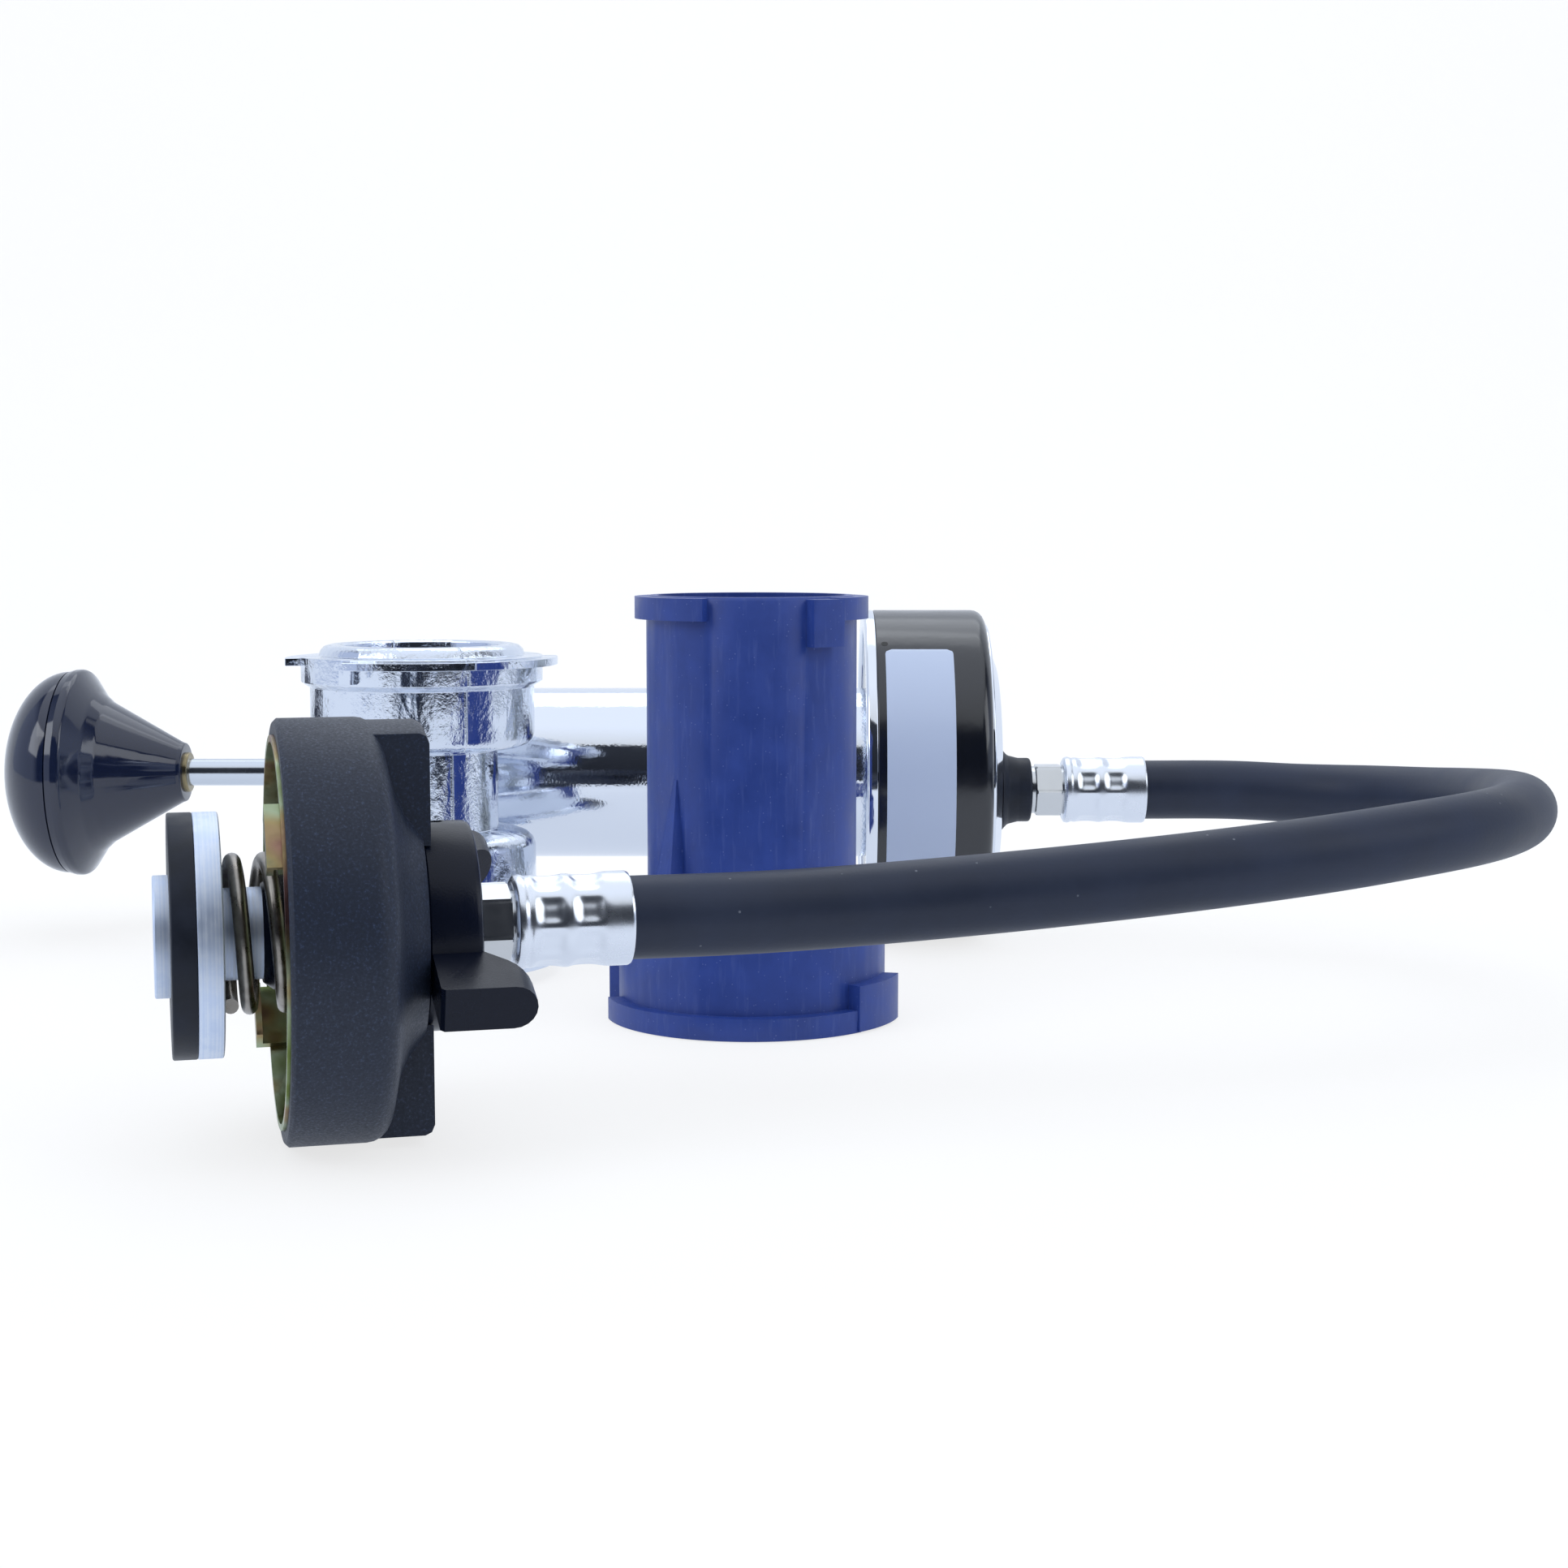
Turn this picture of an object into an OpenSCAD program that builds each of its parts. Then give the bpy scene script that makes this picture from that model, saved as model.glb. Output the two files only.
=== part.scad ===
// Cooling system pressure test set: a hand pump with a ring dial gauge round
// its barrel, a rubber hose, a cap style test head and two filler neck adaptors.
// Millimetres, +Z up. The set stands on Z = 0, and the origin is the middle of
// its footprint without the hose.

/* [Hose and fittings] */
// Outer diameter of the hose
hose_d = 13.2; // [11:0.1:15]
// Wall of the crimped ferrules
ferrule_wall = 0.65; // [0.6:0.05:1.2]
// Length of the crimped ferrules
ferrule_len = 18.4; // [15:0.1:22]
// Depth of the crimp dents
crimp_depth = 0.45; // [0.2:0.05:0.5]
// Width across flats of the hose nuts
nut_af = 11; // [9:0.1:12]
// Length of the rear hose nut
rear_nut_len = 5.6; // [4:0.1:9]

/* [Pump] */
// Outer diameter of the barrel
barrel_d = 39; // [34:0.5:42]
// Wall of the barrel
barrel_wall = 1.2; // [0.8:0.1:2]
// Length of barrel in front of the gauge bezel
barrel_reach = 120; // [80:1:140]
// Wall of the barrel's end cap
cap_wall = 1.1; // [0.8:0.1:2]
// Length of the barrel's end cap
cap_len = 10; // [6:0.5:16]
// Diameter of the pump rod
rod_d = 6.2; // [5:0.1:8]
// Length of rod that shows at rest
rod_shown = 32.5; // [20:0.5:40]
// Thickness of the piston
piston_len = 8; // [5:0.5:12]
// Thickness of the piston's cup seal
cup_len = 4; // [2:0.5:6]
// Distance of the cup seal from the foot of the barrel at rest
piston_gap = 33; // [20:1:50]

/* [Knob] */
// Largest diameter of the knob
knob_d = 47.6; // [40:0.2:56]
// Length of the knob
knob_len = 40.5; // [34:0.5:50]
// Height of the domed cap
dome_h = 14; // [9:0.5:17]
// Diameter of the knob's neck
knob_neck_d = 13.4; // [11:0.1:18]

/* [Gauge] */
// Diameter of the gauge case
gauge_d = 75; // [66:0.5:84]
// Depth of the gauge case
case_len = 27.5; // [24:0.5:36]
// Wall of the gauge case
case_wall = 1.2; // [0.8:0.1:2]
// Rounding of the case's rear edge
case_round = 2.8; // [1:0.1:4]
// Depth of the bezel ring
bezel_len = 2.5; // [2:0.1:5]
// Width of the bezel's face
bezel_face = 4.2; // [3:0.1:7]
// Thickness of the lens
lens_t = 1.2; // [0.8:0.1:2]
// Thickness of the dial plate
dial_t = 0.6; // [0.4:0.1:1]
// Diameter of the socket flange behind the barrel
socket_d = 46; // [44:0.5:52]
// Sideways offset of the hose port from the barrel's axis
port_side = 14; // [6:0.5:15]
// Drop of the hose port below the barrel's axis
port_drop = 2.6; // [0:0.2:6]
// Diameter of the rubber boot on the port
boot_d = 14.4; // [12.4:0.1:18]
// Length of the rubber boot
boot_len = 6.6; // [4:0.1:10]

/* [Test head] */
// Outer diameter of the shell
shell_d = 65; // [58:0.5:72]
// Depth of the shell's skirt
skirt_len = 15.6; // [14:0.2:20]
// Wall of the shell
shell_wall = 2.5; // [1.8:0.1:4]
// Rounding of the skirt's rear edge
skirt_round = 3.5; // [1:0.1:5]
// Rise of the shell's coned back behind the skirt
cone_h = 5.5; // [3:0.1:8]
// Rise of the grip ears past the coned back
ear_rise = 1.2; // [0.4:0.1:3]
// Width of the grip ears
ear_w = 19; // [10:0.5:26]
// Diameter of the sealing disc and its gasket
seal_d = 37.2; // [32:0.1:42]
// Thickness of the rubber gasket
gasket_t = 3.7; // [2:0.1:6]
// Thickness of the aluminium disc
disc_t = 3.8; // [2:0.1:6]
// Diameter of the nut in front of the gasket
seal_nut_d = 18.5; // [14:0.1:24]
// Thickness of the nut in front of the gasket
seal_nut_t = 2.3; // [1.5:0.1:5]
// Distance from the aluminium disc to the shell's rim
disc_stand = 8.5; // [7:0.1:12]
// Diameter of the stem
stem_d = 14; // [12:0.1:15]
// Air passage through the stem
air_d = 4; // [2:0.1:5]
// Sheet thickness of the cam ring
cam_t = 1; // [0.8:0.1:1.6]
// Reach of the two cam lugs past the rim
lug_reach = 2.7; // [2:0.1:3.5]
// Width of a cam lug
lug_w = 11; // [6:0.5:14]
// Depth of a lug's inward hook
lug_hook = 3.4; // [2:0.1:4]
// Wire diameter of the spring
spring_wire = 2.4; // [1.4:0.1:2.6]
// Mean diameter of the spring
spring_d = 22.2; // [22:0.1:25]
// Number of turns of the spring
spring_turns = 4.3; // [3.3:1:5.3]
// Thickness of the thrust washer
washer_t = 1; // [0.6:0.1:1.6]

/* [Wing handle] */
// Diameter of the handle's hub
hub_d = 32.4; // [26:0.2:38]
// Length of the handle's hub
hub_len = 8.2; // [6:0.1:12]
// Diameter of the sleeve inside the spring
sleeve_d = 17.4; // [16.6:0.1:17.6]
// Reach of the sleeve past the shell's rim
sleeve_reach = 2.4; // [1:0.1:3]
// Radius of the wing tips
wing_r = 27; // [22:0.5:30]
// Thickness of a wing
wing_t = 6.9; // [5:0.1:10]
// Reach of a wing tip behind the hub
wing_flare = 6.4; // [2:0.1:8]

/* [Chrome neck adaptor] */
// Diameter of the flange lips
neck_flange_d = 56.6; // [52:0.2:62]
// Diameter of the two cups
neck_cup_d = 46.6; // [42:0.2:48]
// Diameter of the waist
neck_waist_d = 31; // [28:0.2:36]
// Wall of the cups
neck_cup_wall = 6.5; // [4.5:0.1:8]
// Wall of the waist
neck_waist_wall = 3.5; // [2:0.1:5]
// Height of the lower cup
low_cup_h = 31; // [26:0.5:36]
// Height of the waist
waist_h = 16.2; // [10:0.2:24]
// Height of the upper cup
top_cup_h = 22.4; // [18:0.2:30]

/* [Blue cap adaptor] */
// Height of the adaptor
blue_h = 81; // [70:1:95]
// Outer diameter of the upper tube
blue_tube_d = 40.2; // [36:0.2:44]
// Wall of the upper tube
blue_tube_wall = 2.1; // [1.2:0.1:4]
// Outer diameter of the lower socket
blue_socket_d = 51.4; // [48:0.2:56]
// Wall of the lower socket
blue_socket_wall = 2.5; // [1.5:0.1:4]
// Height of the lower socket
blue_socket_h = 24; // [18:0.5:30]
// Reach of the upper cam flange past the tube
blue_top_lip = 2.2; // [1.5:0.1:4]
// Reach of the lower cam flange past the socket
blue_low_lip = 2.5; // [1.5:0.1:4]
// Thickness of the cam flanges
blue_lip_t = 4.4; // [3:0.1:6]
// Height of the gussets above the socket
gusset_h = 23; // [10:1:35]
// Thickness of the gussets at their foot
gusset_t = 5; // [2:0.1:7]

/* [Hidden] */
$fn = 72;

// Running clearance on a radius, and the gap between parts at rest
fit = 0.05;
gap = 0.3;
eps = 0.01;

// Where the pieces lie
gauge_x = 96.5;
pump_y = 95.2;
head_x = -28.4;
head_y = -101.3;
head_yaw = 15;
neck_x = -27.4;
neck_y = 44.2;
blue_x = 42.3;
blue_y = -1;

// Pump stations along its axis, from the rear edge of the gauge case
front_face = -case_len - bezel_len;
barrel_open = front_face - barrel_reach;
foot_t = 12;
spigot_t = 4;
barrel_foot = -foot_t;
barrel_bore = barrel_d - 2 * barrel_wall;
cap_end = 3;
bush_lip = 1;
bush_d = 12;
bush_flange_t = 2;
cap_face = barrel_open - cap_end - bush_lip;
knob_foot = cap_face - rod_shown;
knob_top = knob_foot - knob_len;
valve_t = 1.5;
valve_d = 12;
cup_face = barrel_foot - spigot_t - piston_gap;
insert_d = 9.2;
insert_len = 4;
insert_lip = 1;
rod_in_knob = 18;

// Gauge stations
pointer_x = front_face + 3.4;
pointer_t = 1.2;
pointer_rim = 2;
dial_x = front_face + 5.4;
needle_rest = 45;
vent_d = 1.6;
vent_angle = 35;
back_rise = 2;
back_t = 0.8;
port_tail = 3;
collar_len = 1.2;
collar_d = nut_af - 1;
bourdon_r = gauge_d / 2 - 8;
bourdon_w = 2.4;
bourdon_len = 6;
bourdon_sweep = 250;
arm_w = 9;

// Hose end stations
hose_fit = 0.15;
ferrule_d = hose_d + 2 * (ferrule_wall + hose_fit);
ferrule_floor = 1;
rear_nut_x = boot_len + 1 + collar_len;
rear_ferrule_x = rear_nut_x + rear_nut_len + 0.4;

// Test head stations along its axis, from the shell's rim
shell_floor = 1.6;
hub_x = skirt_len + cone_h;
ear_end = hub_x + ear_rise;
hub_end = hub_x + hub_len;
flange_t = 1.7;
flange_d = stem_d + 3.2;
flange_x = hub_end - 0.5 - flange_t;
nut_len = 6.3;
front_ferrule_x = hub_end + nut_len;
disc_x = -disc_stand - disc_t;
gasket_x = disc_x - gasket_t;
seal_nut_x = gasket_x - seal_nut_t;
spigot_d = 10;
skirt_bore = shell_d - 2 * shell_wall;
floor_x = skirt_len - shell_floor;
cam_floor_x = floor_x - cam_t;
washer_x = cam_floor_x - washer_t;
cam_d = skirt_bore - 2 * fit;
lug_angles = [52, 232];
wing_tilt = 18.2;
screw_hole_d = 2.2;

// Centre line of the hose, from the gauge to the test head
hose_route = [
    [148.5, 81, 34.9], [164.5, 77.5, 34.5], [178.5, 68.5, 35], [187.5, 54, 36],
    [192, 36.5, 37.5], [193, 17.5, 39], [190.5, -0.5, 40], [184, -18.5, 40.5],
    [173.5, -34.5, 40.5], [158.5, -48, 40], [138.5, -58.5, 38.5], [113.5, -66.5, 36.5],
    [86.5, -72.5, 34.5], [60.5, -78, 33], [42.5, -82.6, 32.5]
];
hose_sides = 12;
rings_a_leg = 3;

// ---------- helpers ----------

// Points along an arc
function arc(c, r, a0, a1, n) =
    [for (i = [0:n]) c + r * [cos(a0 + (a1 - a0) * i / n), sin(a0 + (a1 - a0) * i / n)]];

function unit(v) = v / norm(v);

// A point between b and c on a smooth curve through a, b, c and d
function between(a, b, c, d, u) =
    0.5 * (2 * b + u * (c - a) + u * u * (2 * a - 5 * b + 4 * c - d)
        + u * u * u * (3 * b - a - 3 * c + d));

// A point on the test head's axis
function on_head(t) =
    [head_x + t * cos(head_yaw), head_y + t * sin(head_yaw), shell_d / 2];

// Puts its children on the pump's axis, their +Z along +X
module on_pump(x) {
    translate([gauge_x + x, pump_y, gauge_d / 2])
        rotate([0, 90, 0])
            children();
}

// Puts its children on the hose port's axis
module on_port(x) {
    translate([gauge_x + x, pump_y - port_side, gauge_d / 2 - port_drop])
        rotate([0, 90, 0])
            children();
}

// Puts its children on the test head's axis, their +Z towards the hose
module at_head(t) {
    translate(on_head(t))
        rotate([0, 0, head_yaw])
            rotate([0, 90, 0])
                children();
}

// A straight tube
module tube(d, bore, h) {
    difference() {
        cylinder(d = d, h = h);
        translate([0, 0, -1]) cylinder(d = bore, h = h + 2);
    }
}

// A hexagonal bar of a given width across flats, with corners along Y
module hex_bar(af, h) {
    rotate([0, 0, 30]) cylinder(d = af / cos(30), h = h, $fn = 6);
}

// Part of a ring between two angles
module ring_part(r0, r1, h, from, to) {
    rotate([0, 0, from])
        rotate_extrude(angle = to - from)
            translate([r0, 0]) square([r1 - r0, h]);
}

// ---------- pump ----------

module knob_cap() {
    seam_r = knob_d / 2 - 0.5;
    steps = 16;
    color([0.05, 0.05, 0.06])
        on_pump(knob_top)
            rotate_extrude()
                polygon(concat(
                    [for (i = [0:steps])
                        [seam_r * sin(90 * i / steps), dome_h * (1 - cos(90 * i / steps))]],
                    [[0, dome_h]]
                ));
}

module knob_body() {
    seam_r = knob_d / 2 - 0.3;
    rim_r = 3;
    waist_x = 0.57 * knob_len;
    waist_r = 0.69 * knob_d / 2;
    foot_r = knob_neck_d / 2;
    color([0.05, 0.05, 0.06])
        on_pump(knob_top)
            difference() {
                rotate_extrude()
                    polygon(concat(
                        [[0, dome_h], [seam_r, dome_h]],
                        arc([knob_d / 2 - rim_r, dome_h + 2.5], rim_r, 0, 62, 5),
                        [[waist_r + 1.2, waist_x - 1.8], [waist_r, waist_x]],
                        [[foot_r + 0.6, knob_len - 1], [foot_r, knob_len], [0, knob_len]]
                    ));
                translate([0, 0, knob_len - insert_len]) cylinder(d = insert_d, h = insert_len + 1);
                translate([0, 0, knob_len - rod_in_knob]) cylinder(d = rod_d, h = rod_in_knob + 1);
            }
}

module knob_insert() {
    color([0.72, 0.56, 0.24])
        on_pump(knob_foot - insert_len)
            tube(insert_d, rod_d, insert_len + insert_lip);
}

module pump_rod() {
    color([0.75, 0.76, 0.78])
        on_pump(knob_foot - rod_in_knob)
            cylinder(d = rod_d, h = cup_face - cup_len - knob_foot + rod_in_knob);
}

module piston() {
    color([0.7, 0.71, 0.73])
        on_pump(cup_face - cup_len - piston_len)
            tube(barrel_bore - 2 * fit, rod_d, piston_len);
}

// Cup seal: a disc with a lip that opens towards the foot
module piston_cup() {
    r = barrel_bore / 2 - fit;
    lip = 1.6;
    color([0.12, 0.11, 0.1])
        on_pump(cup_face - cup_len)
            rotate_extrude()
                polygon([
                    [0, 0], [r, 0], [r, cup_len], [r - lip, cup_len], [r - 2 * lip, lip], [0, lip]
                ]);
}

module pump_barrel() {
    color([0.82, 0.84, 0.88])
        on_pump(barrel_open)
            tube(barrel_d, barrel_bore, barrel_foot - barrel_open);
}

module barrel_cap() {
    outer = barrel_d + 2 * cap_wall;
    color([0.82, 0.84, 0.88])
        on_pump(barrel_open - cap_end)
            difference() {
                rotate_extrude()
                    polygon([
                        [0, 0], [outer / 2 - 1.5, 0], [outer / 2, 1.5],
                        [outer / 2, cap_len - 0.5], [outer / 2 - 0.5, cap_len], [0, cap_len]
                    ]);
                translate([0, 0, cap_end]) cylinder(d = barrel_d, h = cap_len);
                translate([0, 0, -1]) cylinder(d = bush_d, h = cap_len + 2);
            }
}

module rod_bush() {
    color([0.72, 0.56, 0.24])
        on_pump(cap_face)
            difference() {
                union() {
                    cylinder(d = bush_d, h = bush_lip + cap_end + eps);
                    translate([0, 0, bush_lip + cap_end])
                        cylinder(d = bush_d + 4, h = bush_flange_t);
                }
                translate([0, 0, -1]) cylinder(d = rod_d + 2 * fit, h = 20);
            }
}

module check_valve() {
    color([0.12, 0.11, 0.1])
        on_pump(barrel_foot - spigot_t - valve_t)
            cylinder(d = valve_d, h = valve_t);
}

// ---------- gauge ----------

module gauge_case() {
    r = gauge_d / 2;
    inner = r - case_wall;
    color([0.06, 0.06, 0.07])
        on_pump(-case_len)
            difference() {
                rotate_extrude()
                    polygon(concat(
                        [[inner, 0], [r, 0]],
                        arc([r - case_round, case_len - case_round], case_round, 0, 90, 5),
                        [[socket_d / 2 + fit, case_len], [socket_d / 2 + fit, case_len - case_wall]],
                        arc([r - case_round, case_len - case_round],
                            case_round - case_wall, 90, 0, 4)
                    ));
                rotate([0, 0, 180 + vent_angle])
                    translate([0, 0, 1 + vent_d / 2])
                        rotate([0, 90, 0])
                            cylinder(d = vent_d, h = gauge_d, $fn = 24);
            }
}

module gauge_bezel() {
    r = gauge_d / 2;
    color([0.82, 0.84, 0.88])
        on_pump(front_face)
            rotate_extrude()
                polygon([
                    [r - bezel_face, 0], [r - 0.6, 0], [r, 0.6], [r, bezel_len],
                    [r - case_wall - 1.8, bezel_len], [r - case_wall - 1.8, 1], [r - bezel_face, 1]
                ]);
}

module gauge_lens() {
    color([0.85, 0.9, 0.95, 0.4])
        on_pump(front_face + 1)
            tube(gauge_d - 2 * (case_wall + 1.8), barrel_d + 2 * fit, lens_t);
}

module gauge_dial() {
    color([0.93, 0.93, 0.9])
        on_pump(dial_x)
            tube(gauge_d - 2 * case_wall, barrel_d + 2 * pointer_rim + 1, dial_t);
}

// A ring that turns on the barrel, with a tapered needle
module gauge_pointer() {
    hub_r = barrel_d / 2 + pointer_rim;
    tip_r = gauge_d / 2 - bezel_face - 1;
    color([0.1, 0.1, 0.1])
        on_pump(pointer_x)
            difference() {
                union() {
                    cylinder(r = hub_r, h = pointer_t);
                    rotate([0, 0, needle_rest])
                        linear_extrude(pointer_t / 2)
                            polygon([[hub_r - 1, -1.4], [tip_r, -0.4], [tip_r, 0.4], [hub_r - 1, 1.4]]);
                }
                translate([0, 0, -1]) cylinder(d = barrel_d + 2 * fit, h = 4);
            }
}

// Brass block that closes the barrel and feeds the bourdon tube and the hose
module gauge_socket() {
    color([0.72, 0.56, 0.24])
        on_pump(barrel_foot)
            difference() {
                union() {
                    cylinder(d = socket_d, h = foot_t);
                    translate([0, 0, -spigot_t]) cylinder(d = barrel_bore, h = spigot_t + eps);
                    translate([-arm_w / 2, -bourdon_r - bourdon_w / 2, 1])
                        cube([arm_w, bourdon_r - socket_d / 2 + 8, bourdon_len]);
                }
                translate([0, 0, -spigot_t - 1]) cylinder(d = air_d, h = spigot_t + 5);
                translate([port_drop, -port_side, foot_t - port_tail])
                    cylinder(d = collar_d - 2, h = port_tail + 1);
            }
}

// C shaped tube that straightens under pressure
module bourdon_tube() {
    start = 270;
    color([0.72, 0.5, 0.3])
        on_pump(barrel_foot + 1)
            difference() {
                ring_part(bourdon_r - bourdon_w / 2, bourdon_r + bourdon_w / 2,
                          bourdon_len, start, start + bourdon_sweep);
                translate([-arm_w / 2, -bourdon_r - bourdon_w, -1])
                    cube([arm_w, 2 * bourdon_w, bourdon_len + 2]);
            }
}

// Dished rear cover
module gauge_back() {
    r = gauge_d / 2 - case_round - 0.2;
    color([0.82, 0.84, 0.88])
        on_pump(0)
            difference() {
                rotate_extrude()
                    polygon([
                        [0, 0], [r, 0], [r, back_t / 2], [r * 0.86, back_t + 0.4],
                        [r * 0.7, back_rise], [0, back_rise]
                    ]);
                translate([port_drop, -port_side, -1]) cylinder(d = collar_d - 2, h = 6);
            }
}

module port_boot() {
    r = boot_d / 2;
    flare = 1.8;
    h = boot_len + 1 - back_rise;
    color([0.07, 0.07, 0.08])
        on_port(back_rise)
            difference() {
                rotate_extrude()
                    polygon(concat(
                        [[0, 0], [r + flare, 0]],
                        arc([r + flare, flare], flare, 270, 180, 4),
                        [[r, h - 0.6], [r - 0.6, h], [0, h]]
                    ));
                translate([0, 0, -1]) cylinder(d = collar_d - 2, h = boot_len + 4);
            }
}

// ---------- hose ----------

// Nipple, collar and nut between the gauge and the rear ferrule
module rear_fitting() {
    color([0.75, 0.76, 0.78])
        on_port(0) {
            difference() {
                union() {
                    translate([0, 0, -port_tail])
                        cylinder(d = collar_d - 2, h = boot_len + 1 + port_tail + eps);
                    translate([0, 0, boot_len + 1]) cylinder(d = collar_d, h = collar_len + eps);
                    translate([0, 0, rear_nut_x]) hex_bar(nut_af, rear_nut_len);
                    translate([0, 0, rear_nut_x + rear_nut_len - eps])
                        cylinder(d = collar_d, h = 0.4 + eps);
                }
                translate([0, 0, -port_tail - 1]) cylinder(d = air_d, h = 40);
            }
        }
}

// Crimped sleeve, closed at the fitting's side but for the air passage
module ferrule() {
    r = ferrule_d / 2;
    dents = 8;
    dent_r = 5;
    waist = 0.15;
    bands = [0.3 * ferrule_len, 0.65 * ferrule_len];
    difference() {
        rotate_extrude()
            polygon(concat(
                [[0, 0], [r - 1.4, 0], [r - 0.4, 0.6], [r, 1.6]],
                [for (z = bands) each [[r, z - 3], [r - waist, z - 2], [r - waist, z + 2], [r, z + 3]]],
                [[r, ferrule_len - 0.3], [r - 0.3, ferrule_len], [0, ferrule_len]]
            ));
        translate([0, 0, ferrule_floor]) cylinder(d = hose_d + 2 * hose_fit, h = ferrule_len);
        translate([0, 0, -1]) cylinder(d = air_d, h = ferrule_floor + 2);
        for (z = bands)
            for (i = [0:dents - 1])
                rotate([0, 0, (i + 0.5) * 360 / dents])
                    translate([r + dent_r - crimp_depth, 2.1, z])
                        rotate([90, 0, 0])
                            cylinder(r = dent_r, h = 4.2, $fn = 48);
    }
}

module rear_ferrule() {
    color([0.8, 0.8, 0.82])
        on_port(rear_ferrule_x)
            ferrule();
}

module front_ferrule() {
    color([0.8, 0.8, 0.82])
        at_head(front_ferrule_x)
            ferrule();
}

// The rubber hose: one tube swept along its route, its ends inside the ferrules
module hose() {
    port = [gauge_x, pump_y - port_side, gauge_d / 2 - port_drop];
    rear_in = port + [rear_ferrule_x + ferrule_floor, 0, 0];
    rear_out = port + [rear_ferrule_x + ferrule_len, 0, 0];
    front_in = on_head(front_ferrule_x + ferrule_floor);
    front_out = on_head(front_ferrule_x + ferrule_len);
    along = [cos(head_yaw), sin(head_yaw), 0];
    marks = concat([rear_out], hose_route, [front_out]);
    legs = len(marks) - 1;
    ghosts = concat([rear_in - [8, 0, 0]], marks, [front_in - 8 * along]);
    path = concat(
        [rear_in],
        [for (i = [0:legs - 1]) for (j = [0:rings_a_leg - 1])
            between(ghosts[i], ghosts[i + 1], ghosts[i + 2], ghosts[i + 3], j / rings_a_leg)],
        [front_out, front_in]
    );
    last = len(path) - 1;
    tangent = [for (i = [0:last])
        i < 2 ? [1, 0, 0]
        : i > last - 2 ? -along
        : unit(path[i + 1] - path[i - 1])];
    points = [for (i = [0:last]) for (k = [0:hose_sides - 1])
        let (side = unit(cross([0, 0, 1], tangent[i])),
             up = cross(tangent[i], side),
             a = 360 * k / hose_sides)
        path[i] + hose_d / 2 * (cos(a) * side + sin(a) * up)];
    walls = [for (i = [0:last - 1]) for (k = [0:hose_sides - 1]) for (half = [0, 1])
        let (a = i * hose_sides + k,
             b = i * hose_sides + (k + 1) % hose_sides)
        half == 0 ? [a, a + hose_sides, b + hose_sides] : [a, b + hose_sides, b]];
    caps = [
        [for (k = [0:hose_sides - 1]) k],
        [for (k = [hose_sides - 1:-1:0]) last * hose_sides + k]
    ];
    color([0.2, 0.21, 0.24])
        polyhedron(points, concat(walls, caps));
}

// Nut and neck between the stem and the front ferrule
module front_fitting() {
    color([0.75, 0.76, 0.78])
        at_head(flange_x + flange_t)
            difference() {
                union() {
                    cylinder(d = collar_d, h = 0.5 + eps);
                    translate([0, 0, 0.5]) hex_bar(nut_af, nut_len - 0.4);
                    translate([0, 0, nut_len]) cylinder(d = collar_d, h = 0.5);
                }
                translate([0, 0, -1]) cylinder(d = air_d, h = 20);
            }
}

// ---------- test head ----------

// Hollow stem with a spigot at the disc and a flange behind the handle
module head_stem() {
    color([0.78, 0.8, 0.83])
        at_head(-disc_stand)
            difference() {
                union() {
                    cylinder(d = stem_d, h = flange_x + disc_stand + eps);
                    translate([0, 0, flange_x + disc_stand])
                        cylinder(d = flange_d, h = flange_t);
                    translate([0, 0, -disc_t - gasket_t - seal_nut_t + 0.8])
                        cylinder(d = spigot_d, h = disc_t + gasket_t + seal_nut_t);
                }
                translate([0, 0, -30]) cylinder(d = air_d, h = 100);
            }
}

module seal_disc() {
    color([0.78, 0.8, 0.83])
        at_head(disc_x)
            tube(seal_d, spigot_d, disc_t);
}

module seal_gasket() {
    color([0.1, 0.1, 0.11])
        at_head(gasket_x)
            tube(seal_d, spigot_d, gasket_t);
}

module seal_nut() {
    color([0.78, 0.8, 0.83])
        at_head(seal_nut_x)
            difference() {
                cylinder(d = seal_nut_d, h = seal_nut_t);
                translate([0, 0, 0.8]) cylinder(d = spigot_d, h = seal_nut_t);
                translate([0, 0, -1]) cylinder(d = air_d, h = seal_nut_t);
            }
}

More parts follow.
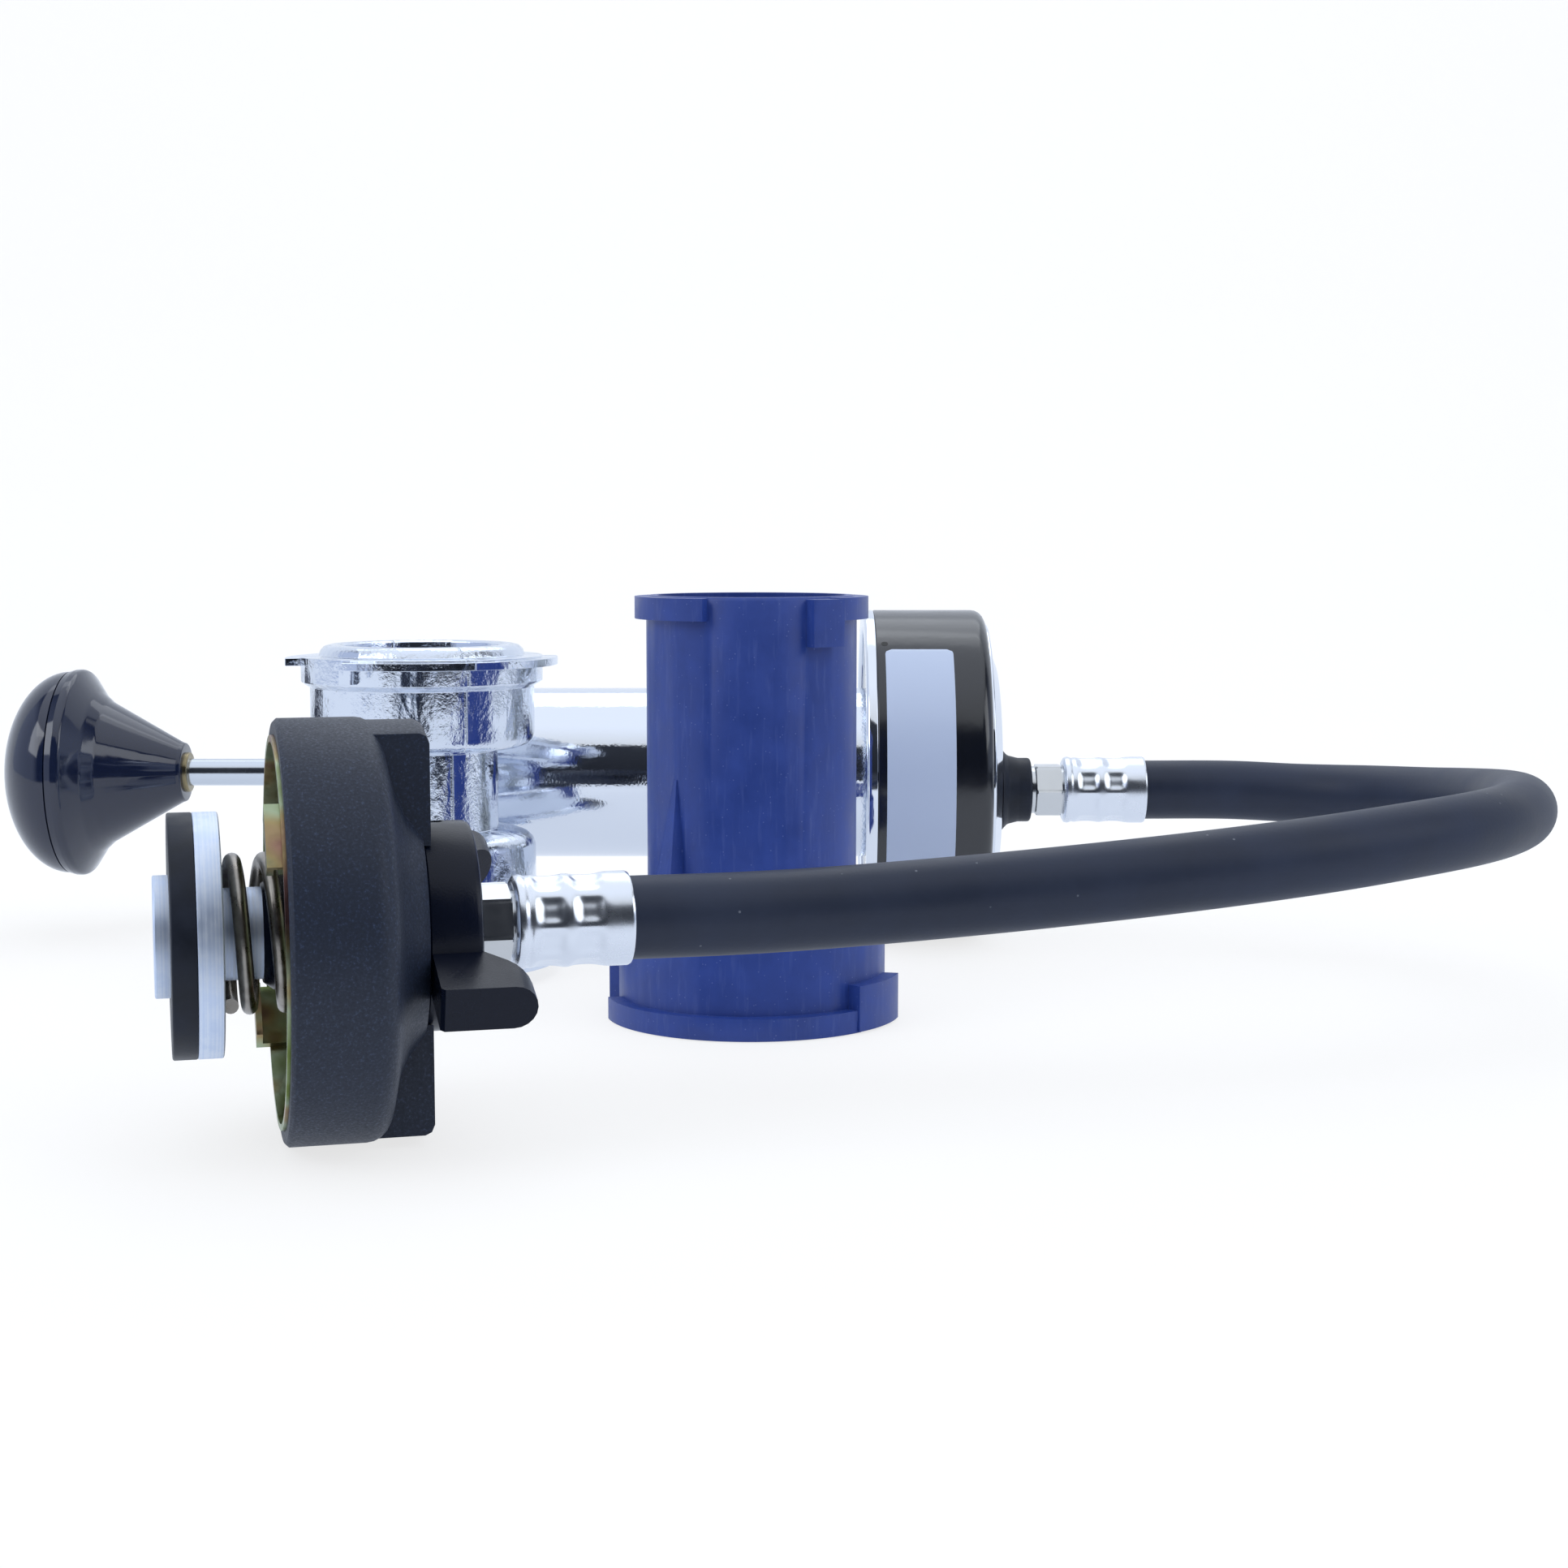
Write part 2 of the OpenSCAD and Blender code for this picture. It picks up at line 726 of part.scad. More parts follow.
// Compression spring: open turns between two nearly closed end turns
module head_spring() {
    rings_a_turn = 8;
    sides = 6;
    wire = spring_wire / 2;
    r = spring_d / 2;
    close = spring_wire + 0.5;
    start = -disc_stand + wire + 0.1;
    finish = washer_x - wire - 0.1;
    open_turns = spring_turns - 2;
    pitch = (finish - start - 2 * close) / open_turns;
    n = round(spring_turns * rings_a_turn);
    function climb(turn) =
        turn < 1 ? close * pow(turn, 2)
        : turn < 1 + open_turns ? close + pitch * (turn - 1)
        : 2 * close + pitch * open_turns - close * pow(spring_turns - turn, 2);
    function spot(turn) = [r * cos(360 * turn), r * sin(360 * turn), start + climb(turn)];
    function way(turn) = [-sin(360 * turn), cos(360 * turn), 0];
    turns = [for (i = [0:n]) spring_turns * i / n];
    path = concat(
        [spot(0) - spring_wire * way(0)],
        [for (t = turns) spot(t)],
        [spot(spring_turns) + spring_wire * way(spring_turns)]
    );
    ways = concat([way(0)], [for (t = turns) way(t)], [way(spring_turns)]);
    last = len(path) - 1;
    points = [for (i = [0:last]) for (k = [0:sides - 1])
        let (a = 360 * k / sides, out = cross(ways[i], [0, 0, 1]))
        path[i] + wire * (cos(a) * out + sin(a) * [0, 0, 1])];
    walls = [for (i = [0:last - 1]) for (k = [0:sides - 1]) for (half = [0, 1])
        let (a = i * sides + k, b = i * sides + (k + 1) % sides)
        half == 0 ? [a, b + sides, a + sides] : [a, b, b + sides]];
    caps = [
        [for (k = [sides - 1:-1:0]) k],
        [for (k = [0:sides - 1]) last * sides + k]
    ];
    least = min([for (i = [1:last - 1]) for (j = [i + rings_a_turn - 2:1:last])
        norm(path[i] - path[j]) - spring_wire]);
    echo(spring_least_gap = least);
    color([0.42, 0.4, 0.37])
        at_head(0)
            polyhedron(points, concat(walls, caps));
}

module thrust_washer() {
    color([0.7, 0.7, 0.7])
        at_head(washer_x)
            tube(spring_d + spring_wire + 3, sleeve_d + 2 * fit, washer_t);
}

// Cast cap: an open skirt, a coned back and two grip ears
module head_shell() {
    r = shell_d / 2;
    ear_r = r - 0.5;
    ear_foot = hub_d / 2 + 0.4;
    back_r = hub_d / 2 + 1.4;
    rise = cone_h / 5;
    reach = (r - skirt_round - back_r) / 5;
    color([0.16, 0.17, 0.19])
        at_head(0)
            difference() {
                union() {
                    rotate_extrude()
                        polygon(concat(
                            [[0, 0], [r - 0.6, 0], [r, 0.6]],
                            arc([r - skirt_round, skirt_len - skirt_round], skirt_round, 0, 85, 5),
                            [[back_r + 3 * reach, skirt_len + rise],
                             [back_r + 1.4 * reach, skirt_len + 2.5 * rise],
                             [back_r, hub_x], [0, hub_x]]
                        ));
                    intersection() {
                        translate([0, 0, skirt_len - skirt_round - 1])
                            rotate_extrude()
                                polygon([
                                    [ear_foot, 0], [ear_r, 0],
                                    [ear_r, ear_end - skirt_len + skirt_round - 0.4],
                                    [ear_r - 0.4, ear_end - skirt_len + skirt_round + 0.5],
                                    [ear_r - 1.5, ear_end - skirt_len + skirt_round + 1],
                                    [ear_foot, ear_end - skirt_len + skirt_round + 1]
                                ]);
                        translate([-shell_d, -ear_w / 2, 0]) cube([2 * shell_d, ear_w, 2 * shell_d]);
                    }
                }
                translate([0, 0, -1]) cylinder(d = skirt_bore, h = floor_x + 1);
                cylinder(d = sleeve_d, h = 2 * shell_d);
            }
}

// Plated steel cap inside the skirt, with two hooked lugs
module cam_ring() {
    r = cam_d / 2;
    rim = -0.5;
    color([0.72, 0.62, 0.3])
        at_head(0) {
            difference() {
                translate([0, 0, rim]) cylinder(r = r, h = floor_x - rim);
                translate([0, 0, rim - 1]) cylinder(r = r - cam_t, h = cam_floor_x - rim + 1);
                cylinder(d = sleeve_d + 2, h = 40);
            }
            for (a = lug_angles)
                rotate([0, 0, a]) {
                    span = lug_w / r * 180 / PI;
                    translate([0, 0, -lug_reach])
                        ring_part(r - 2 * cam_t, r - cam_t + eps, lug_reach + 5, -span / 2, span / 2);
                    translate([0, 0, -lug_reach])
                        ring_part(r - cam_t - lug_hook, r - 2 * cam_t + eps, cam_t,
                                  -span / 2, span / 2);
                }
        }
}

// Sleeve that carries the shell and slides and turns on the stem
module turn_sleeve() {
    long = hub_x + sleeve_reach;
    color([0.07, 0.07, 0.08])
        at_head(-sleeve_reach)
            difference() {
                rotate_extrude()
                    polygon([
                        [0, 0], [sleeve_d / 2 - 1.2, 0], [sleeve_d / 2, 1.6],
                        [sleeve_d / 2, long], [0, long]
                    ]);
                translate([0, 0, -1]) cylinder(d = stem_d + 2 * fit, h = long + 2);
            }
}

// Section of a wing across its length, with a full round at its rear edge
module wing_section(tail) {
    r = wing_t / 2;
    polygon(concat(
        [[0, -r], [0, r]],
        arc([-(tail - r), 0], r, 90, 270, 10)
    ));
}

// Moulded handle: a hub with two swept wings
module wing_handle() {
    tip_flat = 5;
    root = hub_d / 2 - 5;
    tail = hub_len + wing_flare;
    color([0.07, 0.07, 0.08])
        at_head(hub_x)
            difference() {
                union() {
                    rotate_extrude()
                        polygon([
                            [0, 0], [hub_d / 2 - 0.4, 0], [hub_d / 2, 0.4],
                            [hub_d / 2, hub_len - 1], [hub_d / 2 - 0.3, hub_len - 0.3],
                            [hub_d / 2 - 1, hub_len], [0, hub_len]
                        ]);
                    for (side = [0, 180])
                        rotate([0, 0, side - 90 + wing_tilt])
                            intersection() {
                                rotate([90, 0, 0])
                                    translate([0, 0, -wing_t / 2])
                                        linear_extrude(wing_t)
                                            polygon([
                                                [root, 0.4], [wing_r - 0.6, 0.4], [wing_r, 1],
                                                [wing_r, tail], [wing_r - tip_flat, tail],
                                                [hub_d / 2 - 1, hub_len - 0.6], [root, hub_len - 0.6]
                                            ]);
                                rotate([0, 90, 0])
                                    linear_extrude(wing_r + 1)
                                        wing_section(tail);
                            }
                }
                translate([0, 0, -1]) cylinder(d = stem_d + 2 * fit, h = 40);
                translate([0, 0, flange_x - hub_x - gap])
                    cylinder(d = flange_d + 2 * gap, h = 20);
                translate([-hub_d / 2 - 1, 0, 3])
                    rotate([0, 90, 0])
                        cylinder(d = screw_hole_d, h = 4, $fn = 24);
            }
}

// ---------- adaptors ----------

// One bayonet cup, standing on its base with its mouth up
module neck_cup(h) {
    lip = neck_flange_d / 2;
    collar = neck_cup_d / 2 + 1.8;
    cup = neck_cup_d / 2;
    throat = neck_cup_d / 2 - neck_cup_wall;
    lip_z = h - 2.4;
    collar_h = 6.4;
    stop_w = 7;
    difference() {
        union() {
            rotate_extrude()
                polygon(concat(
                    [[0, 0], [neck_waist_d / 2 - 1, 0]],
                    [[cup - 3, 0.9], [cup - 1.6, 1.4], [cup - 0.5, 2.4], [cup, 3.8]],
                    [[cup, lip_z - collar_h], [collar, lip_z - collar_h + 1.2],
                     [collar, lip_z], [throat + 4.6, lip_z + 0.3], [throat + 4.2, h - 1.1],
                     [throat + 3.4, h - 0.3], [throat + 2.2, h], [throat + 0.8, h],
                     [throat, h - 0.4], [0, h - 0.4]]
                ));
            for (side = [0, 180]) {
                translate([0, 0, lip_z - 1.9])
                    ring_part(collar - 2, lip, 1.6, side + 75, side + 210);
                translate([0, 0, lip_z - collar_h + 1.6])
                    ring_part(collar - 2, lip - 1.4, collar_h - 2.5, side + 75, side + 75 + stop_w);
            }
        }
        translate([0, 0, 5]) cylinder(r = throat, h = h);
    }
}

module neck_adaptor() {
    top_z = low_cup_h + waist_h;
    color([0.82, 0.84, 0.88])
        translate([neck_x, neck_y, 0])
            difference() {
                union() {
                    translate([0, 0, low_cup_h])
                        mirror([0, 0, 1])
                            rotate([0, 0, 165])
                                neck_cup(low_cup_h);
                    translate([0, 0, low_cup_h - 1]) cylinder(d = neck_waist_d, h = waist_h + 2);
                    translate([0, 0, top_z])
                        rotate([0, 0, 165])
                            neck_cup(top_cup_h);
                }
                translate([0, 0, -1])
                    cylinder(d = neck_waist_d - 2 * neck_waist_wall, h = top_z + top_cup_h);
            }
}

// A pair of cam flanges, their tops at zero, each with a stop at its start
module cam_flanges(r, lip, from, to, stop_h, stop_span) {
    bite = 1;
    inset = 0.2;
    proud = 0.5;
    for (side = [0, 180]) {
        translate([0, 0, -blue_lip_t])
            ring_part(r - bite, r + lip, blue_lip_t - inset, side + from + stop_span - 2, side + to);
        translate([0, 0, -stop_h])
            ring_part(r - bite - inset, r + lip + proud, stop_h - 2 * inset,
                      side + from, side + from + stop_span);
    }
}

// A gusset against the tube, tapered to its top edge in both directions
module gusset(inner, outer) {
    foot = blue_socket_h - 1;
    top = blue_socket_h + gusset_h;
    tip = 0.8;
    intersection() {
        rotate([90, 0, 0])
            translate([0, 0, -gusset_t / 2])
                linear_extrude(gusset_t)
                    polygon([
                        [inner - 1, foot], [outer, foot],
                        [inner + 0.2, top], [inner - 1, top]
                    ]);
        rotate([90, 0, 90])
            linear_extrude(outer + 1)
                polygon([
                    [-gusset_t / 2, foot], [gusset_t / 2, foot],
                    [tip / 2, top], [-tip / 2, top]
                ]);
    }
}

module cap_adaptor() {
    tube_r = blue_tube_d / 2;
    socket_r = blue_socket_d / 2;
    step_z = blue_socket_h - 3;
    gusset_angle = 226;
    color([0.17, 0.24, 0.55])
        translate([blue_x, blue_y, 0])
            difference() {
                union() {
                    rotate_extrude()
                        polygon([
                            [0, 0], [socket_r, 0], [socket_r, blue_socket_h - 1.5],
                            [socket_r - 1.5, blue_socket_h], [tube_r, blue_socket_h],
                            [tube_r, blue_h - 0.7], [tube_r - 0.5, blue_h], [0, blue_h]
                        ]);
                    translate([0, 0, blue_h])
                        cam_flanges(tube_r, blue_top_lip, -59, 67, 9.2, 19);
                    rotate([180, 0, 0])
                        cam_flanges(socket_r, blue_low_lip, 12, 167, 9, 33);
                    for (side = [0, 180])
                        rotate([0, 0, gusset_angle + side])
                            gusset(tube_r, socket_r - 1.2);
                }
                translate([0, 0, -1])
                    cylinder(r = tube_r - blue_tube_wall, h = blue_h + 2);
                translate([0, 0, -1])
                    cylinder(r = socket_r - blue_socket_wall, h = step_z + 1);
            }
}

knob_cap();
knob_body();
knob_insert();
pump_rod();
piston();
piston_cup();
pump_barrel();
barrel_cap();
rod_bush();
check_valve();
gauge_case();
gauge_bezel();
gauge_lens();
gauge_dial();
gauge_pointer();
gauge_socket();
bourdon_tube();
gauge_back();
port_boot();
rear_fitting();
rear_ferrule();
hose();
front_ferrule();
front_fitting();
head_stem();
seal_disc();
seal_gasket();
seal_nut();
head_spring();
thrust_washer();
head_shell();
cam_ring();
turn_sleeve();
wing_handle();
neck_adaptor();
cap_adaptor();
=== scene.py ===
"""Dresses the cooling system pressure test set: pump, gauge, hose, test head and two adaptors."""
import math

import bmesh
import bpy
import numpy as np
from bpy.props import FloatProperty, FloatVectorProperty, IntProperty, PointerProperty
from bpy.types import Operator, Panel, PropertyGroup
from mathutils import Matrix, Vector


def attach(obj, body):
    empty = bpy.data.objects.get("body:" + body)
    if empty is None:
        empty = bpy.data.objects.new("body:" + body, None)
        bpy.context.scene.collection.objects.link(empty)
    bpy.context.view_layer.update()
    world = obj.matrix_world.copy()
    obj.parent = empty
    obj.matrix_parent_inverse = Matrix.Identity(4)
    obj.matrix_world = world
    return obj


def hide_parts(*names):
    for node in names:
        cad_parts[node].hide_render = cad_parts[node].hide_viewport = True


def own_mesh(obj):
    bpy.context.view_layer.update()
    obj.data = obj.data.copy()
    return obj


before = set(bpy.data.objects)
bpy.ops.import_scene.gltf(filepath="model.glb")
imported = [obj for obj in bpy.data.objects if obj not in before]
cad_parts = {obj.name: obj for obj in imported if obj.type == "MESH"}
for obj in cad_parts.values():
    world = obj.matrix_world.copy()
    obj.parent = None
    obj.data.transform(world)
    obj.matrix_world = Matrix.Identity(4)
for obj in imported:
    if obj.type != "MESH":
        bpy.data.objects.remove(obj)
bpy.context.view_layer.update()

bl_info = {
    "name": "Pressure Test Set",
    "version": (1, 0, 0),
    "blender": (4, 5, 0),
    "location": "View3D > Sidebar > Test Set",
    "description": "Hand pump with a ring gauge, rubber hose, cap test head and neck adaptors",
    "category": "Object",
}

MM = 0.001


def linear(code):
    """An sRGB colour written as hex, as linear red, green and blue."""
    srgb = [int(code[i:i + 2], 16) / 255 for i in (1, 3, 5)]
    return tuple(c / 12.92 if c <= 0.04045 else ((c + 0.055) / 1.055) ** 2.4 for c in srgb)


# ---------- sizes and colours ----------


class TestSetSizes(PropertyGroup):
    """Sizes of the visible pieces."""

    hose_diameter: FloatProperty(
        name="Hose Diameter", description="Outer diameter of the rubber hose",
        default=0.0132, min=0.011, max=0.0136, precision=4, unit="LENGTH")
    dent_depth: FloatProperty(
        name="Crimp Depth", description="Depth of each dent in the crimped ferrules",
        default=0.00055, min=0.0001, max=0.0006, precision=4, unit="LENGTH")
    edge_round: FloatProperty(
        name="Edge Rounding", description="Rounding of cast and moulded edges",
        default=0.0004, min=0.0, max=0.0008, precision=4, unit="LENGTH")
    spring_wire: FloatProperty(
        name="Spring Wire", description="Wire diameter of the head's spring",
        default=0.0024, min=0.0014, max=0.0026, precision=4, unit="LENGTH")
    turned_facets: IntProperty(
        name="Turned Facets", description="Facets round each turned piece",
        default=96, min=48, max=192)


class TestSetColours(PropertyGroup):
    """Colours of the finishes a user would change."""

    blue_plastic: FloatVectorProperty(
        name="Adaptor Plastic", description="Blue of the moulded cap adaptor",
        subtype="COLOR", default=linear("#263f8a"), min=0.0, max=1.0)
    hose_rubber: FloatVectorProperty(
        name="Hose Rubber", description="Grey black of the hose",
        subtype="COLOR", default=linear("#222a3d"), min=0.0, max=1.0)
    knob_black: FloatVectorProperty(
        name="Knob Black", description="Black of the polished knob",
        subtype="COLOR", default=linear("#141c33"), min=0.0, max=1.0)
    shell_black: FloatVectorProperty(
        name="Shell Powder Coat", description="Blue black of the coated shell",
        subtype="COLOR", default=linear("#1e2637"), min=0.0, max=1.0)
    zinc_gold: FloatVectorProperty(
        name="Yellow Zinc", description="Yellow of the passivated cam ring",
        subtype="COLOR", default=linear("#a3b092"), min=0.0, max=1.0)


def sizes():
    """The sizes that are set in the panel."""
    return bpy.context.scene.test_set_sizes


def colours():
    """The colours that are set in the panel."""
    return bpy.context.scene.test_set_colours


# ---------- axes that the pieces are turned about ----------

HEAD_YAW = math.radians(15)
ALONG_HEAD = np.array([math.cos(HEAD_YAW), math.sin(HEAD_YAW), 0.0])
ACROSS_HEAD = np.array([-math.sin(HEAD_YAW), math.cos(HEAD_YAW), 0.0])
DOWN = (0, 0, -1)


def axis_frame(origin, first, second, along):
    """Local x, y and z directions as rows, and the origin in millimetres."""
    return np.array([first, second, along], float), np.array(origin, float)


PUMP = axis_frame((96.5, 95.2, 37.5), DOWN, (0, 1, 0), (1, 0, 0))
PORT = axis_frame((96.5, 81.2, 34.9), DOWN, (0, 1, 0), (1, 0, 0))
HEAD = axis_frame((-28.4, -101.3, 32.5), DOWN, ACROSS_HEAD, ALONG_HEAD)
NECK = (-27.4, 44.2)


def placed(points, axes):
    """Local millimetres to metres in the shared frame."""
    rows, origin = axes
    return (np.asarray(points, float) @ rows + origin) * MM


# ---------- meshes ----------

SAME_POINT = 1e-7  # metres within which a pole's points are one
SAME_CORNER = 2e-6  # metres within which a solid's loose corners are one
SAME_PLANE = math.radians(0.4)  # tilt below which a solid's triangles are one face
SOLID_EDGE = 38  # degrees past which a solid's edge is an edge


def linked(name, data):
    """A new object with that data, linked to the scene."""
    made = bpy.data.objects.new(name, data)
    bpy.context.scene.collection.objects.link(made)
    return made


def edited(mesh, *steps):
    """Takes a mesh through steps, each a function of its bmesh."""
    work = bmesh.new()
    work.from_mesh(mesh)
    for step in steps:
        step(work)
    work.to_mesh(mesh)
    work.free()


def rounded(corners, closed=True, steps=5):
    """A profile of corners (r, t, fillet). Each corner with a fillet becomes an arc that meets
    both its sides: the point on it is the centre plus the start and end radii mixed by sines."""
    points = np.array([c[:2] for c in corners], float)
    count = len(points)
    line = []
    for i, corner in enumerate(corners):
        fillet = corner[2] if len(corner) > 2 else 0.0
        if fillet <= 0 or (not closed and i in (0, count - 1)):
            line.append(points[i])
            continue
        a, b = points[i - 1] - points[i], points[(i + 1) % count] - points[i]
        long_a, long_b = np.linalg.norm(a), np.linalg.norm(b)
        a, b = a / long_a, b / long_b
        half = 0.5 * math.acos(np.clip(a @ b, -1, 1))
        if half > math.pi / 2 - 0.01:  # the sides are nearly in line
            line.append(points[i])
            continue
        cut = min(fillet / math.tan(half), 0.49 * long_a, 0.49 * long_b)
        reach = cut * math.tan(half) / math.sin(half)
        centre = points[i] + (a + b) / np.linalg.norm(a + b) * reach
        start, end = points[i] + a * cut - centre, points[i] + b * cut - centre
        spread = math.pi - 2 * half
        for w in np.linspace(0, 1, steps + 1):
            mix = (math.sin((1 - w) * spread) * start + math.sin(w * spread) * end)
            line.append(centre + mix / math.sin(spread))
    return np.array(line)


def mesh_piece(name, mesh, sharp):
    """An object of a mesh, its doubles merged and its shading smooth up to the sharp angle."""
    edited(mesh,
           lambda work: bmesh.ops.remove_doubles(work, verts=work.verts, dist=SAME_POINT),
           lambda work: bmesh.ops.dissolve_degenerate(work, edges=work.edges, dist=1e-8))
    mesh.shade_smooth()
    mesh.set_sharp_from_angle(angle=math.radians(sharp))
    return linked(name, mesh)


def grid_quads(rows, columns, wrap_rows=False, wrap_columns=False):
    """The faces of a grid of points, each between two rows and two columns. Where the grid wraps,
    the last row or column joins the first."""
    i, j = np.meshgrid(np.arange(rows if wrap_rows else rows - 1),
                       np.arange(columns if wrap_columns else columns - 1), indexing="ij")
    i, j = i.ravel(), j.ravel()
    down, right = (i + 1) % rows, (j + 1) % columns
    return np.stack([i * columns + j, down * columns + j,
                     down * columns + right, i * columns + right], 1)


def new_mesh(name, points, faces):
    """A mesh of points in metres and faces that number them."""
    mesh = bpy.data.meshes.new(name)
    mesh.from_pydata(points.reshape(-1, 3).tolist(), [], faces.tolist())
    return mesh


def grid_mesh(name, points, wrap_rows, sharp):
    """A piece on a grid of points in metres, each row a closed ring. Poles are merged, faces point
    outwards (the signed volume is made positive), and edges past the sharp angle stay crisp."""
    quads = grid_quads(*points.shape[:2], wrap_rows, True)
    flat = points.reshape(-1, 3)
    a, b, c, d = (flat[quads[:, k]] for k in range(4))
    volume = np.einsum("ij,ij->i", a, np.cross(b, c)).sum()
    volume += np.einsum("ij,ij->i", a, np.cross(c, d)).sum()
    if volume < 0:
        quads = quads[:, ::-1]
    return mesh_piece(name, new_mesh(name, flat, quads), sharp)


def set_piece(piece, body, look, slot, *nodes):
    """Gives a piece its finish and its body, and hides the nodes it stands for. Its slot is not
    used.
    """
    piece.data.materials.clear()
    piece.data.materials.append(finish(look))
    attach(piece, body)
    if nodes:
        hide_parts(*nodes)
    return piece


def turned(name, axes, corners, body, look, slot, *nodes, closed=True, shape=None, facets=None,
           sharp=40):
    """A turned piece: the profile's radius and station are carried round the axis,
    x = r cos a, y = r sin a, z = t. shape(r, t, a) may change the radius, as for flats or dents.
    The rest is as set_piece says."""
    facets = facets or sizes().turned_facets
    line = rounded(corners, closed)
    angle = np.linspace(0, 2 * math.pi, facets, endpoint=False)[None, :]
    radius = np.repeat(line[:, :1], facets, 1)
    station = np.repeat(line[:, 1:], facets, 1)
    if shape:
        radius = shape(radius, station, angle)
    points = np.stack([radius * np.cos(angle), radius * np.sin(angle), station], 2)
    piece = grid_mesh(name, placed(points, axes), closed, sharp)
    return set_piece(piece, body, look, slot, *nodes)


def pipe(name, path, radius, sides, up=(0.0, 0.0, 1.0)):
    """A tube on a path of points in metres: each ring is a circle across the tangent. Each end
    is a flat disc, with five rings near its rim whose radius grows as a sine."""
    path = np.asarray(path, float)
    tangent = np.gradient(path, axis=0)
    tangent /= np.linalg.norm(tangent, axis=1)[:, None]
    side = np.cross(up, tangent)
    side /= np.linalg.norm(side, axis=1)[:, None]
    high = np.cross(tangent, side)
    rim = radius * (1 - 0.12 * (1 - np.sin(np.linspace(0, math.pi / 2, 5))))
    radii = np.concatenate([[0], rim, np.full(len(path), radius), rim[::-1], [0]])
    ends = ((len(rim) + 1,) * 2, (0, 0))
    centre, side, high = (np.pad(row, ends, "edge")[:, None] for row in (path, side, high))
    angle = np.linspace(0, 2 * math.pi, sides, endpoint=False)[None, :, None]
    points = centre + radii[:, None, None] * (np.cos(angle) * side + np.sin(angle) * high)
    return grid_mesh(name, points, False, 50)


def from_solid(name, node, edge, body, look, slot):
    """A copy of a CAD node with its loose triangles merged and its edges rounded by a bevel. It
    stands for that node."""
    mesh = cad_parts[node].data.copy()
    mesh.materials.clear()
    edited(mesh,
           lambda work: bmesh.ops.remove_doubles(work, verts=work.verts, dist=SAME_CORNER),
           lambda work: bmesh.ops.dissolve_limit(
               work, angle_limit=SAME_PLANE, verts=work.verts, edges=work.edges))
    piece = mesh_piece(name, mesh, SOLID_EDGE)
    if edge > 0:
        bevel = piece.modifiers.new("edge rounding", "BEVEL")
        bevel.width = edge
        bevel.segments = 3
        bevel.limit_method = "ANGLE"
        bevel.angle_limit = math.radians(SOLID_EDGE)
        bevel.use_clamp_overlap = True
        bevel.harden_normals = True
    return set_piece(piece, body, look, slot, node)


def paint_node(node, look):
    """Gives a CAD node that stays in view its finish."""
    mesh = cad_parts[node].data
    if not mesh.materials:
        mesh.materials.append(finish(look))
    for index in range(len(mesh.materials)):
        mesh.materials[index] = finish(look)


# ---------- materials ----------


def rgba(value):
    """A hex colour, a linear colour or a grey level as linear red, green, blue and alpha."""
    if isinstance(value, str):
        value = linear(value)
    return (*value, 1) if isinstance(value, tuple) else (value, value, value, 1)


def add(tree, kind, inputs=None, stops=(), out=0, **settings):
    """Adds a shader node with its settings and links, and returns the output named. An input is
    a value or the output that it comes from. stops are a colour ramp's positions, each with a
    colour or a level."""
    node = tree.nodes.new("ShaderNode" + kind)
    for key, value in settings.items():
        setattr(node, key, value)
    for key, value in (inputs or {}).items():
        if isinstance(value, bpy.types.NodeSocket):
            tree.links.new(value, node.inputs[key])
        else:
            colour = node.inputs[key].type == "RGBA"
            node.inputs[key].default_value = rgba(value) if colour else value
    for index, (position, colour) in enumerate(stops):
        elements = node.color_ramp.elements
        element = elements[index] if index < 2 else elements.new(position)
        element.position = position
        element.color = rgba(colour)
    return node.outputs[out] if node.outputs else None


def bare_material(name):
    """An empty material."""
    material = bpy.data.materials.new(name)
    material.use_nodes = True
    material.node_tree.nodes.clear()
    return material


def new_material(name):
    """An empty material. Returns it, its tree and its Object coordinates."""
    material = bare_material(name)
    return material, material.node_tree, add(material.node_tree, "TexCoord", out="Object")


def surfaced(material, height, depth_mm, cloud, haze, surface):
    """The material with a Principled surface. Its relief is the height, that many millimetres
    deep, and its roughness follows the cloud through the haze's stops."""
    tree = material.node_tree
    relief = add(tree, "Bump", {"Height": height, "Distance": depth_mm * MM})
    rough = add(tree, "ValToRGB", {"Fac": cloud}, stops=haze)
    shader = add(tree, "BsdfPrincipled", {**surface, "Roughness": rough, "Normal": relief})
    add(tree, "OutputMaterial", {"Surface": shader})
    return material


def per_mm(size):
    """A texture's scale from the size of one feature in millimetres."""
    return 1000.0 / size


def grain(place, size_mm, detail, roughness=0.5):
    """Inputs of a noise whose features are that many millimetres across."""
    return {"Vector": place, "Scale": per_mm(size_mm), "Detail": detail, "Roughness": roughness}


def tint(colour, level):
    """The colour, lighter or darker."""
    return tuple(level * c for c in colour)


def polished_moulding(colour):
    """Phenolic resin, moulded and buffed: deep black, a wet gloss and cloudy handling marks."""
    material, tree, place = new_material("polished_phenolic")
    marks = add(tree, "TexNoise", grain(place, 9, 4, 0.6))
    ripple = add(tree, "TexNoise", grain(place, 4, 1))
    return surfaced(material, ripple, 0.03, marks, ((0.35, 0.06), (0.75, 0.13)), {
        "Base Color": colour, "IOR": 1.64})


